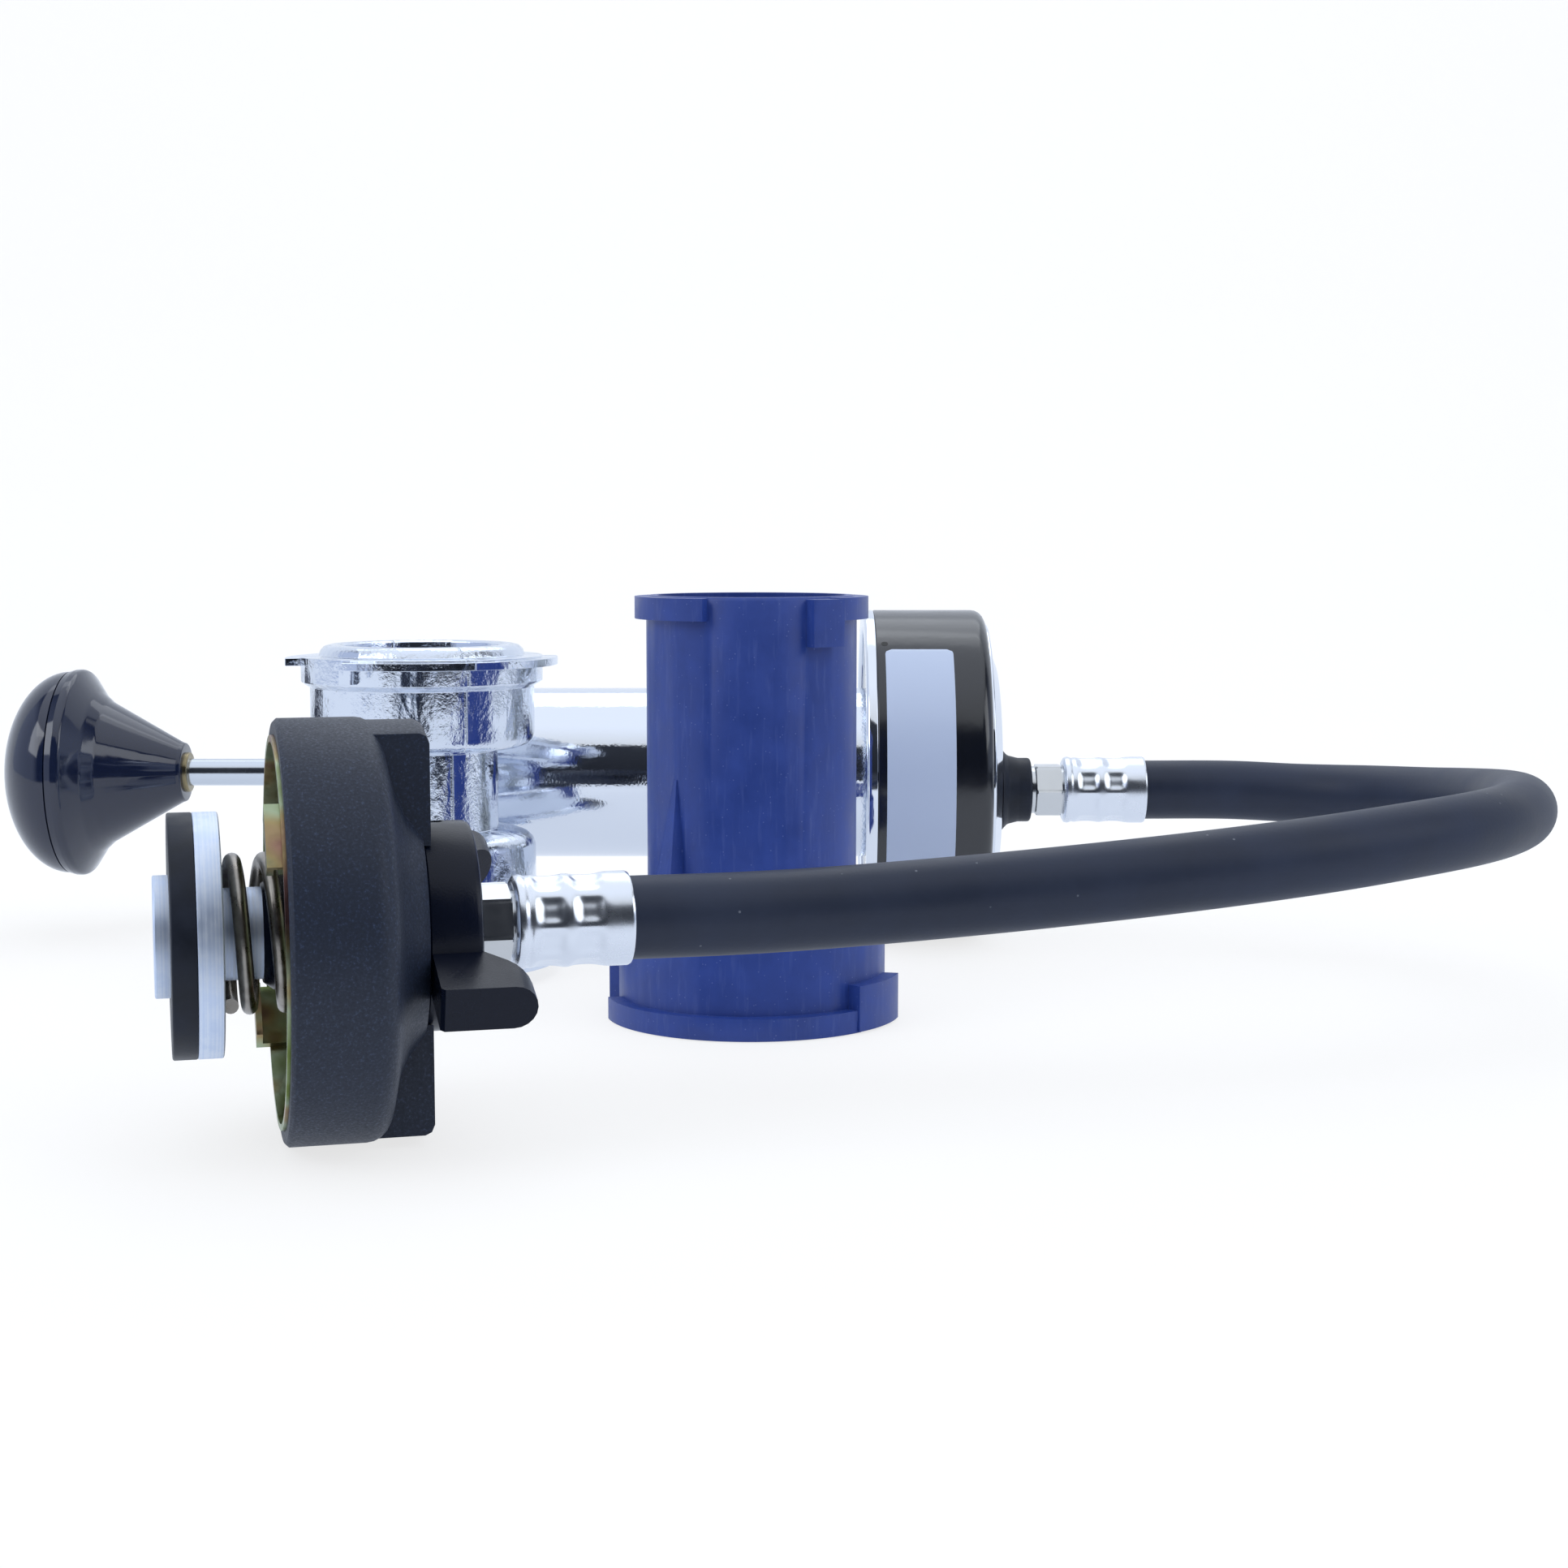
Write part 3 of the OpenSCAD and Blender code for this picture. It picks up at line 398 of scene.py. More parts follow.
def satin_moulding():
    """Glass filled nylon, moulded: satin black, shinier where hands have rubbed it."""
    material, tree, place = new_material("moulded_nylon")
    wear = add(tree, "TexNoise", grain(place, 7, 3))
    # Spark eroded grain is finer, and drawn at 0.35 mm so that it shows
    spark = add(tree, "TexNoise", grain(place, 0.35, 2))
    return surfaced(material, spark, 0.02, wear, ((0.35, 0.24), (0.7, 0.34)), {
        "Base Color": "#0a1020", "IOR": 1.53, "Specular IOR Level": 0.2})


def powder_coat(colour):
    """Textured powder coat on a zinc casting: matt blue black, its pimples painted lighter on their
    tops (painted highlight) and darker between them (painted shade).
    """
    material, tree, place = new_material("textured_powder_coat")
    pimples = add(tree, "TexNoise", grain(place, 0.42, 3, 0.65))
    # Colour follows the pimples' height: painted shade in the hollows between them, painted
    # highlight on their tops
    shade = add(tree, "ValToRGB", {"Fac": pimples}, stops=(
        (0.3, tint(colour, 0.75)), (0.56, colour), (0.66, tint(colour, 1.9)),
        (0.76, tint(colour, 3.0))))
    return surfaced(material, pimples, 0.035, pimples, ((0.3, 0.6), (0.8, 0.36)), {
        "Base Color": shade, "IOR": 1.5, "Specular IOR Level": 0.35})


def stoved_enamel():
    """Black enamel stoved on spun steel: glossy, with a faint orange peel."""
    material, tree, place = new_material("stoved_enamel")
    cloud = add(tree, "TexNoise", grain(place, 14, 3))
    peel = add(tree, "TexNoise", grain(place, 2.2, 1))
    return surfaced(material, peel, 0.02, cloud, ((0.35, 0.15), (0.7, 0.23)), {
        "Base Color": "#0b0f19", "IOR": 1.7})


def chrome_plate(name, roughness, wave_mm, size_mm=5.0):
    """Bright chrome over pressed or drawn steel: a mirror with slow waves from press and buff."""
    material, tree, place = new_material(name)
    cloud = add(tree, "TexNoise", grain(place, 6, 4, 0.6))
    buff = add(tree, "TexNoise", grain(place, size_mm, 2))
    return surfaced(material, buff, wave_mm, cloud, ((0.4, roughness), (0.8, roughness + 0.07)), {
        "Base Color": "#e2e7f0", "Metallic": 1.0})


def cast_chrome():
    """Chrome over a zinc die casting: a mirror on a skin that the casting left pebbled in patches,
    with slow waves up the walls and a fine parting line down both sides."""
    material, tree, place = new_material("cast_chrome")
    upright = add(tree, "Mapping", {"Vector": place, "Scale": (1.0, 1.0, 0.45)})
    wave = add(tree, "TexNoise", grain(upright, 4, 2))
    pebble = add(tree, "TexNoise", grain(place, 0.8, 3, 0.6))
    where = add(tree, "TexNoise", grain(place, 7, 2))
    patch = add(tree, "ValToRGB", {"Fac": where}, stops=((0.4, 0.25), (0.58, 1.0)))
    pits = add(tree, "Math", {0: pebble, 1: patch}, operation="MULTIPLY")
    parting = math.radians(-60)
    normal = (-math.sin(parting), math.cos(parting), 0.0)
    offset = (NECK[0] * normal[0] + NECK[1] * normal[1]) * MM
    side = add(tree, "VectorMath", {0: place, 1: normal}, out="Value", operation="DOT_PRODUCT")
    away = add(tree, "Math", {0: side, 1: offset}, operation="SUBTRACT")
    away = add(tree, "Math", {0: away}, operation="ABSOLUTE")
    seam = add(tree, "MapRange", {
        "Value": away, "From Max": 0.4 * MM, "To Min": 1.0, "To Max": 0.0},
        interpolation_type="SMOOTHSTEP")
    height = add(tree, "Math", {0: wave, 1: 2.2, 2: pits}, operation="MULTIPLY_ADD")
    height = add(tree, "Math", {0: seam, 1: 1.4, 2: height}, operation="MULTIPLY_ADD")
    return surfaced(material, height, 0.13, where, ((0.35, 0.06), (0.7, 0.14)), {
        "Base Color": "#dbe2ee", "Metallic": 1.0})


def turned_aluminium():
    """Aluminium turned on a lathe: pale, with fine tool rings across the axis and a soft haze."""
    material, tree, place = new_material("turned_aluminium")
    along = add(tree, "VectorMath", {0: place, 1: tuple(ALONG_HEAD)}, out="Value",
                operation="DOT_PRODUCT")
    # Tool marks are 0.1 mm apart, drawn at 0.5 mm so that they show
    rings = add(tree, "TexNoise", {"W": along, "Scale": per_mm(0.5), "Detail": 2.0},
                noise_dimensions="1D")
    cloud = add(tree, "TexNoise", grain(place, 3, 4))
    marks = add(tree, "Math", {0: cloud, 1: 0.8, 2: rings}, operation="MULTIPLY_ADD")
    shade = add(tree, "ValToRGB", {"Fac": marks}, stops=(
        (0.65, "#cfdcf2"), (0.85, "#dae5f7"), (1.0, "#e6eefb")))
    return surfaced(material, rings, 0.004, marks, ((0.6, 0.5), (1.0, 0.62)), {
        "Base Color": shade, "Metallic": 1.0})


def yellow_zinc(colour):
    """Yellow passivated zinc: olive gold that drifts to green and rose as the film's depth does."""
    material, tree, place = new_material("yellow_passivated_zinc")
    film = add(tree, "TexNoise", grain(place, 12, 2))
    shade = add(tree, "ValToRGB", {"Fac": film}, stops=(
        (0.34, "#76864a"), (0.46, colour), (0.56, "#a08f66"), (0.66, "#946c66")))
    skin = add(tree, "TexNoise", grain(place, 1.2, 2))
    return surfaced(material, skin, 0.02, skin, ((0.35, 0.28), (0.7, 0.4)), {
        "Base Color": shade, "Metallic": 1.0})


def spring_wire_steel():
    """Oil tempered spring wire: grey brown, with faint streaks from the drawing die."""
    material, tree, place = new_material("tempered_spring_wire")
    streak = add(tree, "TexNoise", grain(place, 2.5, 3))
    shade = add(tree, "ValToRGB", {"Fac": streak}, stops=((0.35, "#88827b"), (0.7, "#aba69f")))
    scale = add(tree, "TexNoise", grain(place, 0.5, 2))
    return surfaced(material, scale, 0.01, streak, ((0.35, 0.26), (0.7, 0.38)), {
        "Base Color": shade, "Metallic": 1.0})


def nitrile_rubber():
    """Nitrile rubber, moulded: soft black with a matt sheen and a trace of bloom."""
    material, tree, place = new_material("nitrile_rubber")
    bloom = add(tree, "TexNoise", grain(place, 5, 3))
    shade = add(tree, "ValToRGB", {"Fac": bloom}, stops=((0.35, "#141924"), (0.7, "#1d2331")))
    skin = add(tree, "TexNoise", grain(place, 0.5, 2))
    return surfaced(material, skin, 0.015, bloom, ((0.35, 0.4), (0.7, 0.56)), {
        "Base Color": shade, "IOR": 1.52, "Specular IOR Level": 0.25})


def hose_rubber(colour):
    """Extruded rubber cover: slate black, a fine bloom in slow clouds and a few specks of dust."""
    material, tree, place = new_material("extruded_rubber_cover")
    bloom = add(tree, "TexNoise", grain(place, 22, 4, 0.6))
    shade = add(tree, "ValToRGB", {"Fac": bloom}, stops=(
        (0.3, tint(colour, 0.8)), (0.7, tint(colour, 1.2))))
    dust = add(tree, "TexVoronoi", {"Vector": place, "Scale": per_mm(5.5)})
    speck = add(tree, "ValToRGB", {"Fac": dust}, stops=((0.0, 0.7), (0.05, 0.0)))
    dusty = add(tree, "Mix", {0: speck, 6: shade, 7: "#868b95"}, out=2, data_type="RGBA")
    skin = add(tree, "TexNoise", grain(place, 0.7, 3))
    return surfaced(material, skin, 0.02, bloom, ((0.3, 0.42), (0.7, 0.54)), {
        "Base Color": dusty, "IOR": 1.52, "Specular IOR Level": 0.3})


def blue_moulding(colour):
    """Polypropylene, moulded: deep blue, cloudy, with pale scuffs up the wall and fine specks."""
    material, tree, place = new_material("moulded_polypropylene")
    cloud = add(tree, "TexNoise", grain(place, 7, 6, 0.62))
    shade = add(tree, "ValToRGB", {"Fac": cloud}, stops=(
        (0.3, tint(colour, 0.88)), (0.5, colour), (0.72, tint(colour, 1.16))))
    dust = add(tree, "TexVoronoi", {"Vector": place, "Scale": per_mm(1.3)})
    speck = add(tree, "ValToRGB", {"Fac": dust}, stops=((0.06, 0.45), (0.13, 0.0)))
    upright = add(tree, "Mapping", {"Vector": place, "Scale": (1.0, 1.0, 0.12)})
    scuff = add(tree, "TexNoise", grain(upright, 0.9, 4))
    pale = add(tree, "ValToRGB", {"Fac": scuff}, stops=((0.56, 0.0), (0.8, 0.2)))
    worn = add(tree, "Math", {0: speck, 1: pale}, operation="MAXIMUM")
    blue = add(tree, "Mix", {0: worn, 6: shade, 7: "#6677b4"}, out=2, data_type="RGBA")
    return surfaced(material, cloud, 0.02, cloud, ((0.35, 0.34), (0.7, 0.46)), {
        "Base Color": blue, "IOR": 1.49, "Specular IOR Level": 0.45})


def plain_finish(name, code, metallic, roughness, size_mm, depth_mm):
    """An even finish with one faint relief: ground steel, nickel, brass, bronze, enamel or film.
    Its haze drifts in clouds six times the size of the relief."""
    material, tree, place = new_material(name)
    cloud = add(tree, "TexNoise", grain(place, 6 * size_mm, 3))
    skin = add(tree, "TexNoise", grain(place, size_mm, 2))
    haze = ((0.35, 0.85 * roughness), (0.7, 1.2 * roughness))
    return surfaced(material, skin, depth_mm, cloud, haze, {
        "Base Color": code, "Metallic": metallic})


def lens_glass():
    """Acrylic, moulded clear: a faint blue in its edge, and a hard gloss."""
    material = bare_material("clear_acrylic")
    shader = add(material.node_tree, "BsdfPrincipled", {
        "Base Color": "#f4f8fb", "Roughness": 0.02, "IOR": 1.49, "Transmission Weight": 1.0})
    add(material.node_tree, "OutputMaterial", {"Surface": shader})
    return material


def studio_white():
    """White paper sweep: matt, white to the camera and to mirrors, with its shadows kept."""
    material = bare_material("white_sweep")
    tree = material.node_tree
    paper = add(tree, "BsdfPrincipled", {
        "Base Color": "#f6f7f8", "Roughness": 0.9, "Specular IOR Level": 0.1})
    camera = add(tree, "LightPath", out="Is Camera Ray")
    path = camera.node.outputs
    seen = add(tree, "Math", {0: camera, 1: path["Is Glossy Ray"]}, operation="MAXIMUM")
    seen = add(tree, "Math", {0: seen, 1: path["Is Transmission Ray"]}, operation="MAXIMUM")
    share = add(tree, "Math", {0: seen, 1: 0.75}, operation="MULTIPLY")
    white = add(tree, "Mix", {0: camera, 6: "#eaf2ff", 7: "#ffffff"}, out=2, data_type="RGBA")
    glow = add(tree, "Emission", {"Color": white})
    mixed = add(tree, "MixShader", {0: share, 1: paper, 2: glow})
    add(tree, "OutputMaterial", {"Surface": mixed})
    return material


FINISHES = {}


def finish(look):
    """The finish of that name, made on first use."""
    chosen = colours()
    makers = {
        "knob": (polished_moulding, tuple(chosen.knob_black)),
        "handle": (satin_moulding,),
        "shell": (powder_coat, tuple(chosen.shell_black)),
        "enamel": (stoved_enamel,),
        "chrome": (chrome_plate, "chrome_plate", 0.06, 0.02),
        "barrel": (chrome_plate, "drawn_chromed_tube", 0.06, 0.016, 0.6),
        "ferrule": (chrome_plate, "crimped_chrome", 0.24, 0.012, 1.6),
        "cast chrome": (cast_chrome,),
        "rod": (plain_finish, "ground_rod", "#cfd6e0", 1.0, 0.18, 2.0, 0.002),
        "nut": (plain_finish, "nickel_plate", "#cfd1d3", 1.0, 0.22, 0.5, 0.006),
        "aluminium": (turned_aluminium,),
        "brass": (plain_finish, "turned_brass", "#8f8468", 1.0, 0.28, 0.6, 0.01),
        "bronze": (plain_finish, "drawn_bronze", "#b0764a", 1.0, 0.32, 0.8, 0.01),
        "zinc": (yellow_zinc, tuple(chosen.zinc_gold)),
        "spring": (spring_wire_steel,),
        "rubber": (nitrile_rubber,),
        "hose": (hose_rubber, tuple(chosen.hose_rubber)),
        "blue": (blue_moulding, tuple(chosen.blue_plastic)),
        "dial": (plain_finish, "dial_enamel", "#f1f0ea", 0.0, 0.4, 1.5, 0.004),
        # Printing ink for the dial; the same black paints the shade in the case's vent hole
        "ink": (plain_finish, "printing_ink", "#0c0d10", 0.0, 0.45, 1.0, 0.002),
        "film": (plain_finish, "label_film", "#b7c3da", 0.0, 0.34, 6.0, 0.02),
        "lens": (lens_glass,),
    }
    if look not in FINISHES:
        maker, *values = makers[look]
        FINISHES[look] = maker(*values)
    return FINISHES[look]


# ---------- the pieces ----------

# Radii, and stations along a piece's own axis, in millimetres
ROD_R = 3.1
BARREL_R, BARREL_BORE_R = 19.5, 18.3
BARREL_HEAD, BARREL_FOOT = -150.0, -12.0
KNOB_TOP = -227.0
CASE_R, CASE_BORE_R = 37.5, 36.3
CASE_FRONT, CASE_REAR = -27.5, -2.2
LENS_R, LENS_FRONT, LENS_BACK = 34.5, -29.0, -27.8
DIAL_FACE = -24.6
GAUGE_FACETS = 144
FERRULE = 18.4  # length of each
REAR_FERRULE, FRONT_FERRULE = 14.8, 35.6  # where each starts
FITTING_R = 5.0
SEAL_R, STEM_R, STEM_BORE_R = 18.6, 7.0, 2.0

HOSE_ROUTE = (
    (148.5, 81, 34.9), (164.5, 77.5, 34.5), (178.5, 68.5, 35), (187.5, 54, 36),
    (192, 36.5, 37.5), (193, 17.5, 39), (190.5, -0.5, 40), (184, -18.5, 40.5),
    (173.5, -34.5, 40.5), (158.5, -48, 40), (138.5, -58.5, 38.5), (113.5, -66.5, 36.5),
    (86.5, -72.5, 34.5), (60.5, -78, 33), (42.5, -82.6, 32.5),
)
HOSE_LEAD = 8  # straight run inside each ferrule that sets the curve's direction
HOSE_INSIDE = 4  # rubber drawn inside each ferrule


def hose_path(steps=8):
    """Points on a Catmull-Rom curve through the route, from ferrule to ferrule: each span is the
    cubic whose slope at a mark is half the step from the mark before to the mark after."""
    rear = PORT[1] + np.array([REAR_FERRULE + FERRULE, 0, 0])
    front = HEAD[1] + (FRONT_FERRULE + FERRULE) * ALONG_HEAD
    marks = np.vstack([rear - [HOSE_LEAD, 0, 0], rear, HOSE_ROUTE, front,
                       front - HOSE_LEAD * ALONG_HEAD])
    u = np.arange(steps)[:, None] / steps
    a, b, c, d = (marks[i:len(marks) - 3 + i, None] for i in range(4))
    curve = 0.5 * (2 * b + u * (c - a) + u ** 2 * (2 * a - 5 * b + 4 * c - d)
                   + u ** 3 * (3 * b - a - 3 * c + d))
    return np.vstack([curve.reshape(-1, 3), front]) * MM


def build_hose():
    """The rubber hose from ferrule to ferrule."""
    path = hose_path()
    inside = HOSE_INSIDE * MM
    whole = np.vstack([path[0] - [inside, 0, 0], path, path[-1] - inside * ALONG_HEAD])
    radius = sizes().hose_diameter / 2
    hose = pipe("rubber_hose", whole, radius, 48)
    set_piece(hose, "tester", "hose", "hose_rubber", "hose")


def build_knob():
    """Turned profile of the knob: a quarter ellipse for the cap, then rim, waist and cone."""
    top = KNOB_TOP
    dome = [(23.3 * math.sin(v), top + 14.0 * (1 - math.cos(v)))
            for v in np.linspace(0, math.pi / 2, 25)]
    turned("knob_dome", PUMP, dome + [(22.9, top + 14.15), (0, top + 14.15)],
           "plunger", "knob", "gloss_black", "knob_cap", closed=False)
    turned("knob_grip", PUMP, [
        (0, top + 14.2), (23.1, top + 14.2), (23.4, top + 14.35), (23.8, top + 15.8, 1.0),
        (23.8, top + 17.4, 1.4), (18.6, top + 20.8, 4.0), (16.4, top + 23.2, 4.0),
        (7.0, top + 39.6, 0.8), (6.7, top + 40.5, 0.4), (0, top + 40.5),
    ], "plunger", "knob", "gloss_black", "knob_body", closed=False)
    turned("knob_bush", PUMP, [
        (ROD_R, -190.5), (4.6, -190.5), (4.6, -185.5, 0.3), (ROD_R, -185.5, 0.1)],
        "plunger", "brass", "brass", "knob_insert")


def build_pump():
    """Rod, barrel, end cap and bush, all turned about the pump's axis."""
    turned("ground_rod", PUMP, [(0, -204.5), (ROD_R, -204.5), (ROD_R, -53.0), (0, -53.0)],
           "plunger", "rod", "rod_steel", "pump_rod", closed=False)
    turned("chromed_barrel", PUMP, [
        (BARREL_BORE_R, BARREL_HEAD), (BARREL_R, BARREL_HEAD, 0.2),
        (BARREL_R, BARREL_FOOT), (BARREL_BORE_R, BARREL_FOOT),
    ], "tester", "barrel", "chrome", "pump_barrel")
    turned("barrel_end_cap", PUMP, [
        (6.0, -153.0), (20.6, -153.0, 1.8), (20.6, -143.6), (20.1, -143.0, 0.2),
        (BARREL_R, -143.0), (BARREL_R, BARREL_HEAD), (6.0, BARREL_HEAD),
    ], "tester", "chrome", "chrome", "barrel_cap")
    turned("rod_guide", PUMP, [
        (3.15, -154.0, 0.3), (6.0, -154.0, 0.3), (6.0, BARREL_HEAD), (8.0, BARREL_HEAD),
        (8.0, -148.0), (3.15, -148.0),
    ], "tester", "brass", "brass", "rod_bush")
    paint_node("piston", "aluminium")
    paint_node("piston_cup", "rubber")
    paint_node("check_valve", "rubber")


def build_gauge():
    """Case, bezel, lens and rear cover of the ring gauge, turned about the pump's axis, and a black
    disc painted as the shade inside the case's vent hole.
    """
    turned("gauge_drum", PUMP, [
        (CASE_BORE_R, CASE_FRONT), (CASE_R, CASE_FRONT, 0.3), (CASE_R, CASE_REAR, 2.8),
        (23.05, CASE_REAR), (23.05, -3.4), (CASE_BORE_R, -3.4, 1.6),
    ], "tester", "enamel", "black_paint", "gauge_case", facets=GAUGE_FACETS)
    turned("gauge_bezel_ring", PUMP, [
        (33.3, -30.0, 0.4), (CASE_R, -30.0, 0.9), (CASE_R, CASE_FRONT, 0.3),
        (LENS_R, CASE_FRONT), (LENS_R, LENS_FRONT), (33.3, LENS_FRONT),
    ], "tester", "chrome", "chrome", "gauge_bezel", facets=GAUGE_FACETS)
    lens = turned("gauge_window", PUMP, [
        (19.55, LENS_FRONT, 0.2), (LENS_R, LENS_FRONT), (LENS_R, LENS_BACK),
        (19.55, LENS_BACK, 0.2),
    ], "tester", "lens", "lens", "gauge_lens", facets=GAUGE_FACETS)
    lens.visible_shadow = False  # light reaches the dial through it
    turned("gauge_rear_cover", PUMP, [
        (0, -2.4), (34.5, -2.4), (34.5, -1.6, 0.5), (29.6, -1.2, 3.0), (25.0, 0.6, 3.0),
        (14.0, 1.1, 2.0), (0, 1.1),
    ], "tester", "chrome", "chrome", "gauge_back", closed=False, facets=GAUGE_FACETS)
    # A black disc where the vent hole is: painted shade standing in for the dark inside of the hole
    turn, sunk = math.radians(180 + 35), 37.47
    out = np.array([math.cos(turn), math.sin(turn), 0.0]) @ PUMP[0]
    spot = placed((sunk * math.cos(turn), sunk * math.sin(turn), -25.7), PUMP)
    vent_axes = (np.array([np.cross((1, 0, 0), out), (1, 0, 0), out]), spot / MM)
    turned("vent_hole_painted_shade", vent_axes, [(0, 0), (0.75, 0), (0.75, 0.05), (0, 0.05)],
           "tester", "ink", "moulded_black", closed=False, facets=24)


FULL_SCALE = 20
ZERO_ANGLE, DIAL_SWEEP = 45, 270  # degrees
TICKS = 41
TICK_END = 31.6
NUMBER_R, NUMBER_SIZE = 24.9, 3.4


def build_dial():
    """Dial plate, its ticks and numbers, and the inside pieces. Each tick is a thin box between
    two radii, at an angle that falls evenly from zero to full scale."""
    turned("dial_plate", PUMP, [
        (22.0, DIAL_FACE), (CASE_BORE_R, DIAL_FACE), (CASE_BORE_R, -24.0), (22.0, -24.0),
    ], "tester", "dial", "dial", "gauge_dial", facets=GAUGE_FACETS)
    order = np.arange(TICKS)
    turn = np.radians(ZERO_ANGLE - DIAL_SWEEP * order / (TICKS - 1))
    major = order % 10 == 0
    inner = np.where(major, 27.6, np.where(order % 2 == 0, 29.2, 30.0))
    outer = np.full(TICKS, TICK_END)
    half = np.where(major, 0.3, 0.14)
    out = np.stack([np.cos(turn), np.sin(turn)], 1)
    side = np.stack([-np.sin(turn), np.cos(turn)], 1)
    ring = np.stack([out * reach[:, None] + side * (way * half)[:, None]
                     for reach, way in ((inner, -1), (inner, 1), (outer, 1), (outer, -1))], 1)
    layers = [np.concatenate([ring, np.full((TICKS, 4, 1), level)], 2)
              for level in (DIAL_FACE, DIAL_FACE - 0.08)]
    points = placed(np.concatenate(layers, 1), PUMP)
    box = np.array([[0, 1, 2, 3], [7, 6, 5, 4], [0, 4, 5, 1], [1, 5, 6, 2], [2, 6, 7, 3],
                    [3, 7, 4, 0]])
    faces = (box[None] + 8 * order[:, None, None]).reshape(-1, 4)
    mesh = new_mesh("dial_ticks", points, faces)
    edited(mesh, lambda work: bmesh.ops.recalc_face_normals(work, faces=work.faces))
    set_piece(linked("dial_ticks", mesh), "tester", "ink", "pointer")
    for value in range(0, FULL_SCALE + 1, 5):
        name = f"dial_number_{value}"
        angle = math.radians(ZERO_ANGLE - DIAL_SWEEP * value / FULL_SCALE)
        curve = bpy.data.curves.new(name, "FONT")
        curve.body = str(value)
        curve.size = NUMBER_SIZE * MM
        curve.align_x, curve.align_y = "CENTER", "CENTER"
        curve.extrude = 0.04 * MM
        curve.resolution_u = 3
        text = linked(name, curve)
        bpy.context.view_layer.update()
        mesh = bpy.data.meshes.new_from_object(text)
        bpy.data.objects.remove(text)
        x, y, z = placed((NUMBER_R * math.cos(angle), NUMBER_R * math.sin(angle), -24.64), PUMP)
        mesh.transform(Matrix(((0, 0, -1, x), (-1, 0, 0, y), (0, 1, 0, z), (0, 0, 0, 1))))
        set_piece(linked(name, mesh), "tester", "ink", "pointer")
    paint_node("gauge_pointer", "ink")
    paint_node("gauge_socket", "brass")
    paint_node("bourdon_tube", "bronze")


LABEL_UNDER, LABEL_OVER = 37.5, 37.56  # radii of its two faces
LABEL_FRONT, LABEL_BACK = -25.6, -10.6
LABEL_START, LABEL_SWEEP = math.radians(180 + 38), math.radians(84)
LABEL_CORNER = 1.4


def build_label():
    """Bare label on the case: a patch of a cylinder. Near each end its two long sides draw in by
    a corner's radius less the height of its circle, which rounds the corners."""
    arc = np.linspace(0, 1, 81)
    reach = 37.54 * LABEL_SWEEP
    edge = np.minimum(arc, 1 - arc) * reach
    short = np.maximum(LABEL_CORNER - edge, 0)
    inset = LABEL_CORNER - np.sqrt(np.maximum(LABEL_CORNER ** 2 - short ** 2, 0))
    across = np.linspace(0, 1, 9)[None, :]
    station = ((LABEL_FRONT + inset)[:, None] * (1 - across)
               + (LABEL_BACK - inset)[:, None] * across)
    angle = (LABEL_START + arc * LABEL_SWEEP)[:, None] + 0 * across
    under, over = (np.stack([radius * np.cos(angle), radius * np.sin(angle), station], 2)
                   for radius in (LABEL_UNDER, LABEL_OVER))
    closed = np.concatenate([over, under[:, ::-1]], 1)
    label = grid_mesh("bare_label", placed(closed, PUMP), False, 60)
    edited(label.data, lambda work: bmesh.ops.holes_fill(
        work, edges=[e for e in work.edges if e.is_boundary]))
    set_piece(label, "tester", "film", "dial")


def nut_shape(across_flats, phase):
    """Radius of a chamfered hexagon: the profile's, cut where the flats lie closer to the axis."""
    def shape(radius, station, angle):
        turn = np.mod(angle - phase + math.pi / 6, math.pi / 3) - math.pi / 6
        return np.minimum(radius, across_flats / 2 / np.cos(turn))
    return shape


def build_fittings():
    """Boot, collar and nut at the gauge, and the nut and collar at the head."""
    turned("port_rubber_boot", PORT, [
        (4.0, 0.9), (9.2, 0.9), (9.0, 1.3, 0.2), (7.8, 2.4, 1.5), (7.2, 4.8, 2.0),
        (7.2, 7.6, 0.7), (4.0, 7.6),
    ], "tester", "rubber", "rubber", "port_boot")
    turned("rear_collar", PORT, [
        (0, -3.0), (4.0, -3.0), (4.0, 7.5), (FITTING_R, 7.5), (5.3, 7.7, 0.2), (5.3, 8.6, 0.3),
        (FITTING_R, 8.8), (FITTING_R, REAR_FERRULE), (0, REAR_FERRULE),
    ], "tester", "nut", "nickel", closed=False)
    for name, axes, start, end, phase, node in (
            ("rear_nut", PORT, 8.8, 14.4, 0.0, "rear_fitting"),
            ("front_nut", HEAD, 29.3, 35.2, math.radians(16), "front_fitting")):
        turned(name, axes, [
            (0, start), (6.05, start), (6.35, start + 0.2), (6.35, end - 0.2), (6.05, end),
            (0, end),
        ], "tester", "nut", "nickel", node,
            closed=False, shape=nut_shape(11.0, phase), facets=180, sharp=25)
    turned("front_collar", HEAD, [
        (0, 28.8), (FITTING_R, 28.8), (FITTING_R, FRONT_FERRULE), (0, FRONT_FERRULE),
    ], "tester", "nut", "nickel", closed=False)


PITS = 8  # round each band of a ferrule


def ferrule_shape(start):
    """Radius of a crimped ferrule: a groove behind the rolled lip, then two bands pressed in all
    round with soft square pits in each. A groove, band or pit falls off as e to the minus the
    distance over its half width, raised to a power that makes it soft or square."""
    depth = sizes().dent_depth / MM
    pitch = 2 * math.pi / PITS

    def dip(distance, half, power):
        return np.exp(-np.abs(distance / half) ** power)

    def shape(radius, station, angle):
        arc = 7.2 * (np.mod(angle, pitch) - pitch / 2)
        total = 0.22 * dip(station - start - 2.1, 0.5, 2) + 0 * angle
        for centre in (0.29 * FERRULE, 0.62 * FERRULE):
            along = station - start - centre
            total = total + 0.65 * depth * dip(along, 2.6, 3)
            total = total + 0.85 * depth * dip(along, 2.1, 4) * dip(arc, 1.95, 4)
        outside = radius > 6.95
        return np.where(outside, radius - total, radius + 0 * angle)
    return shape


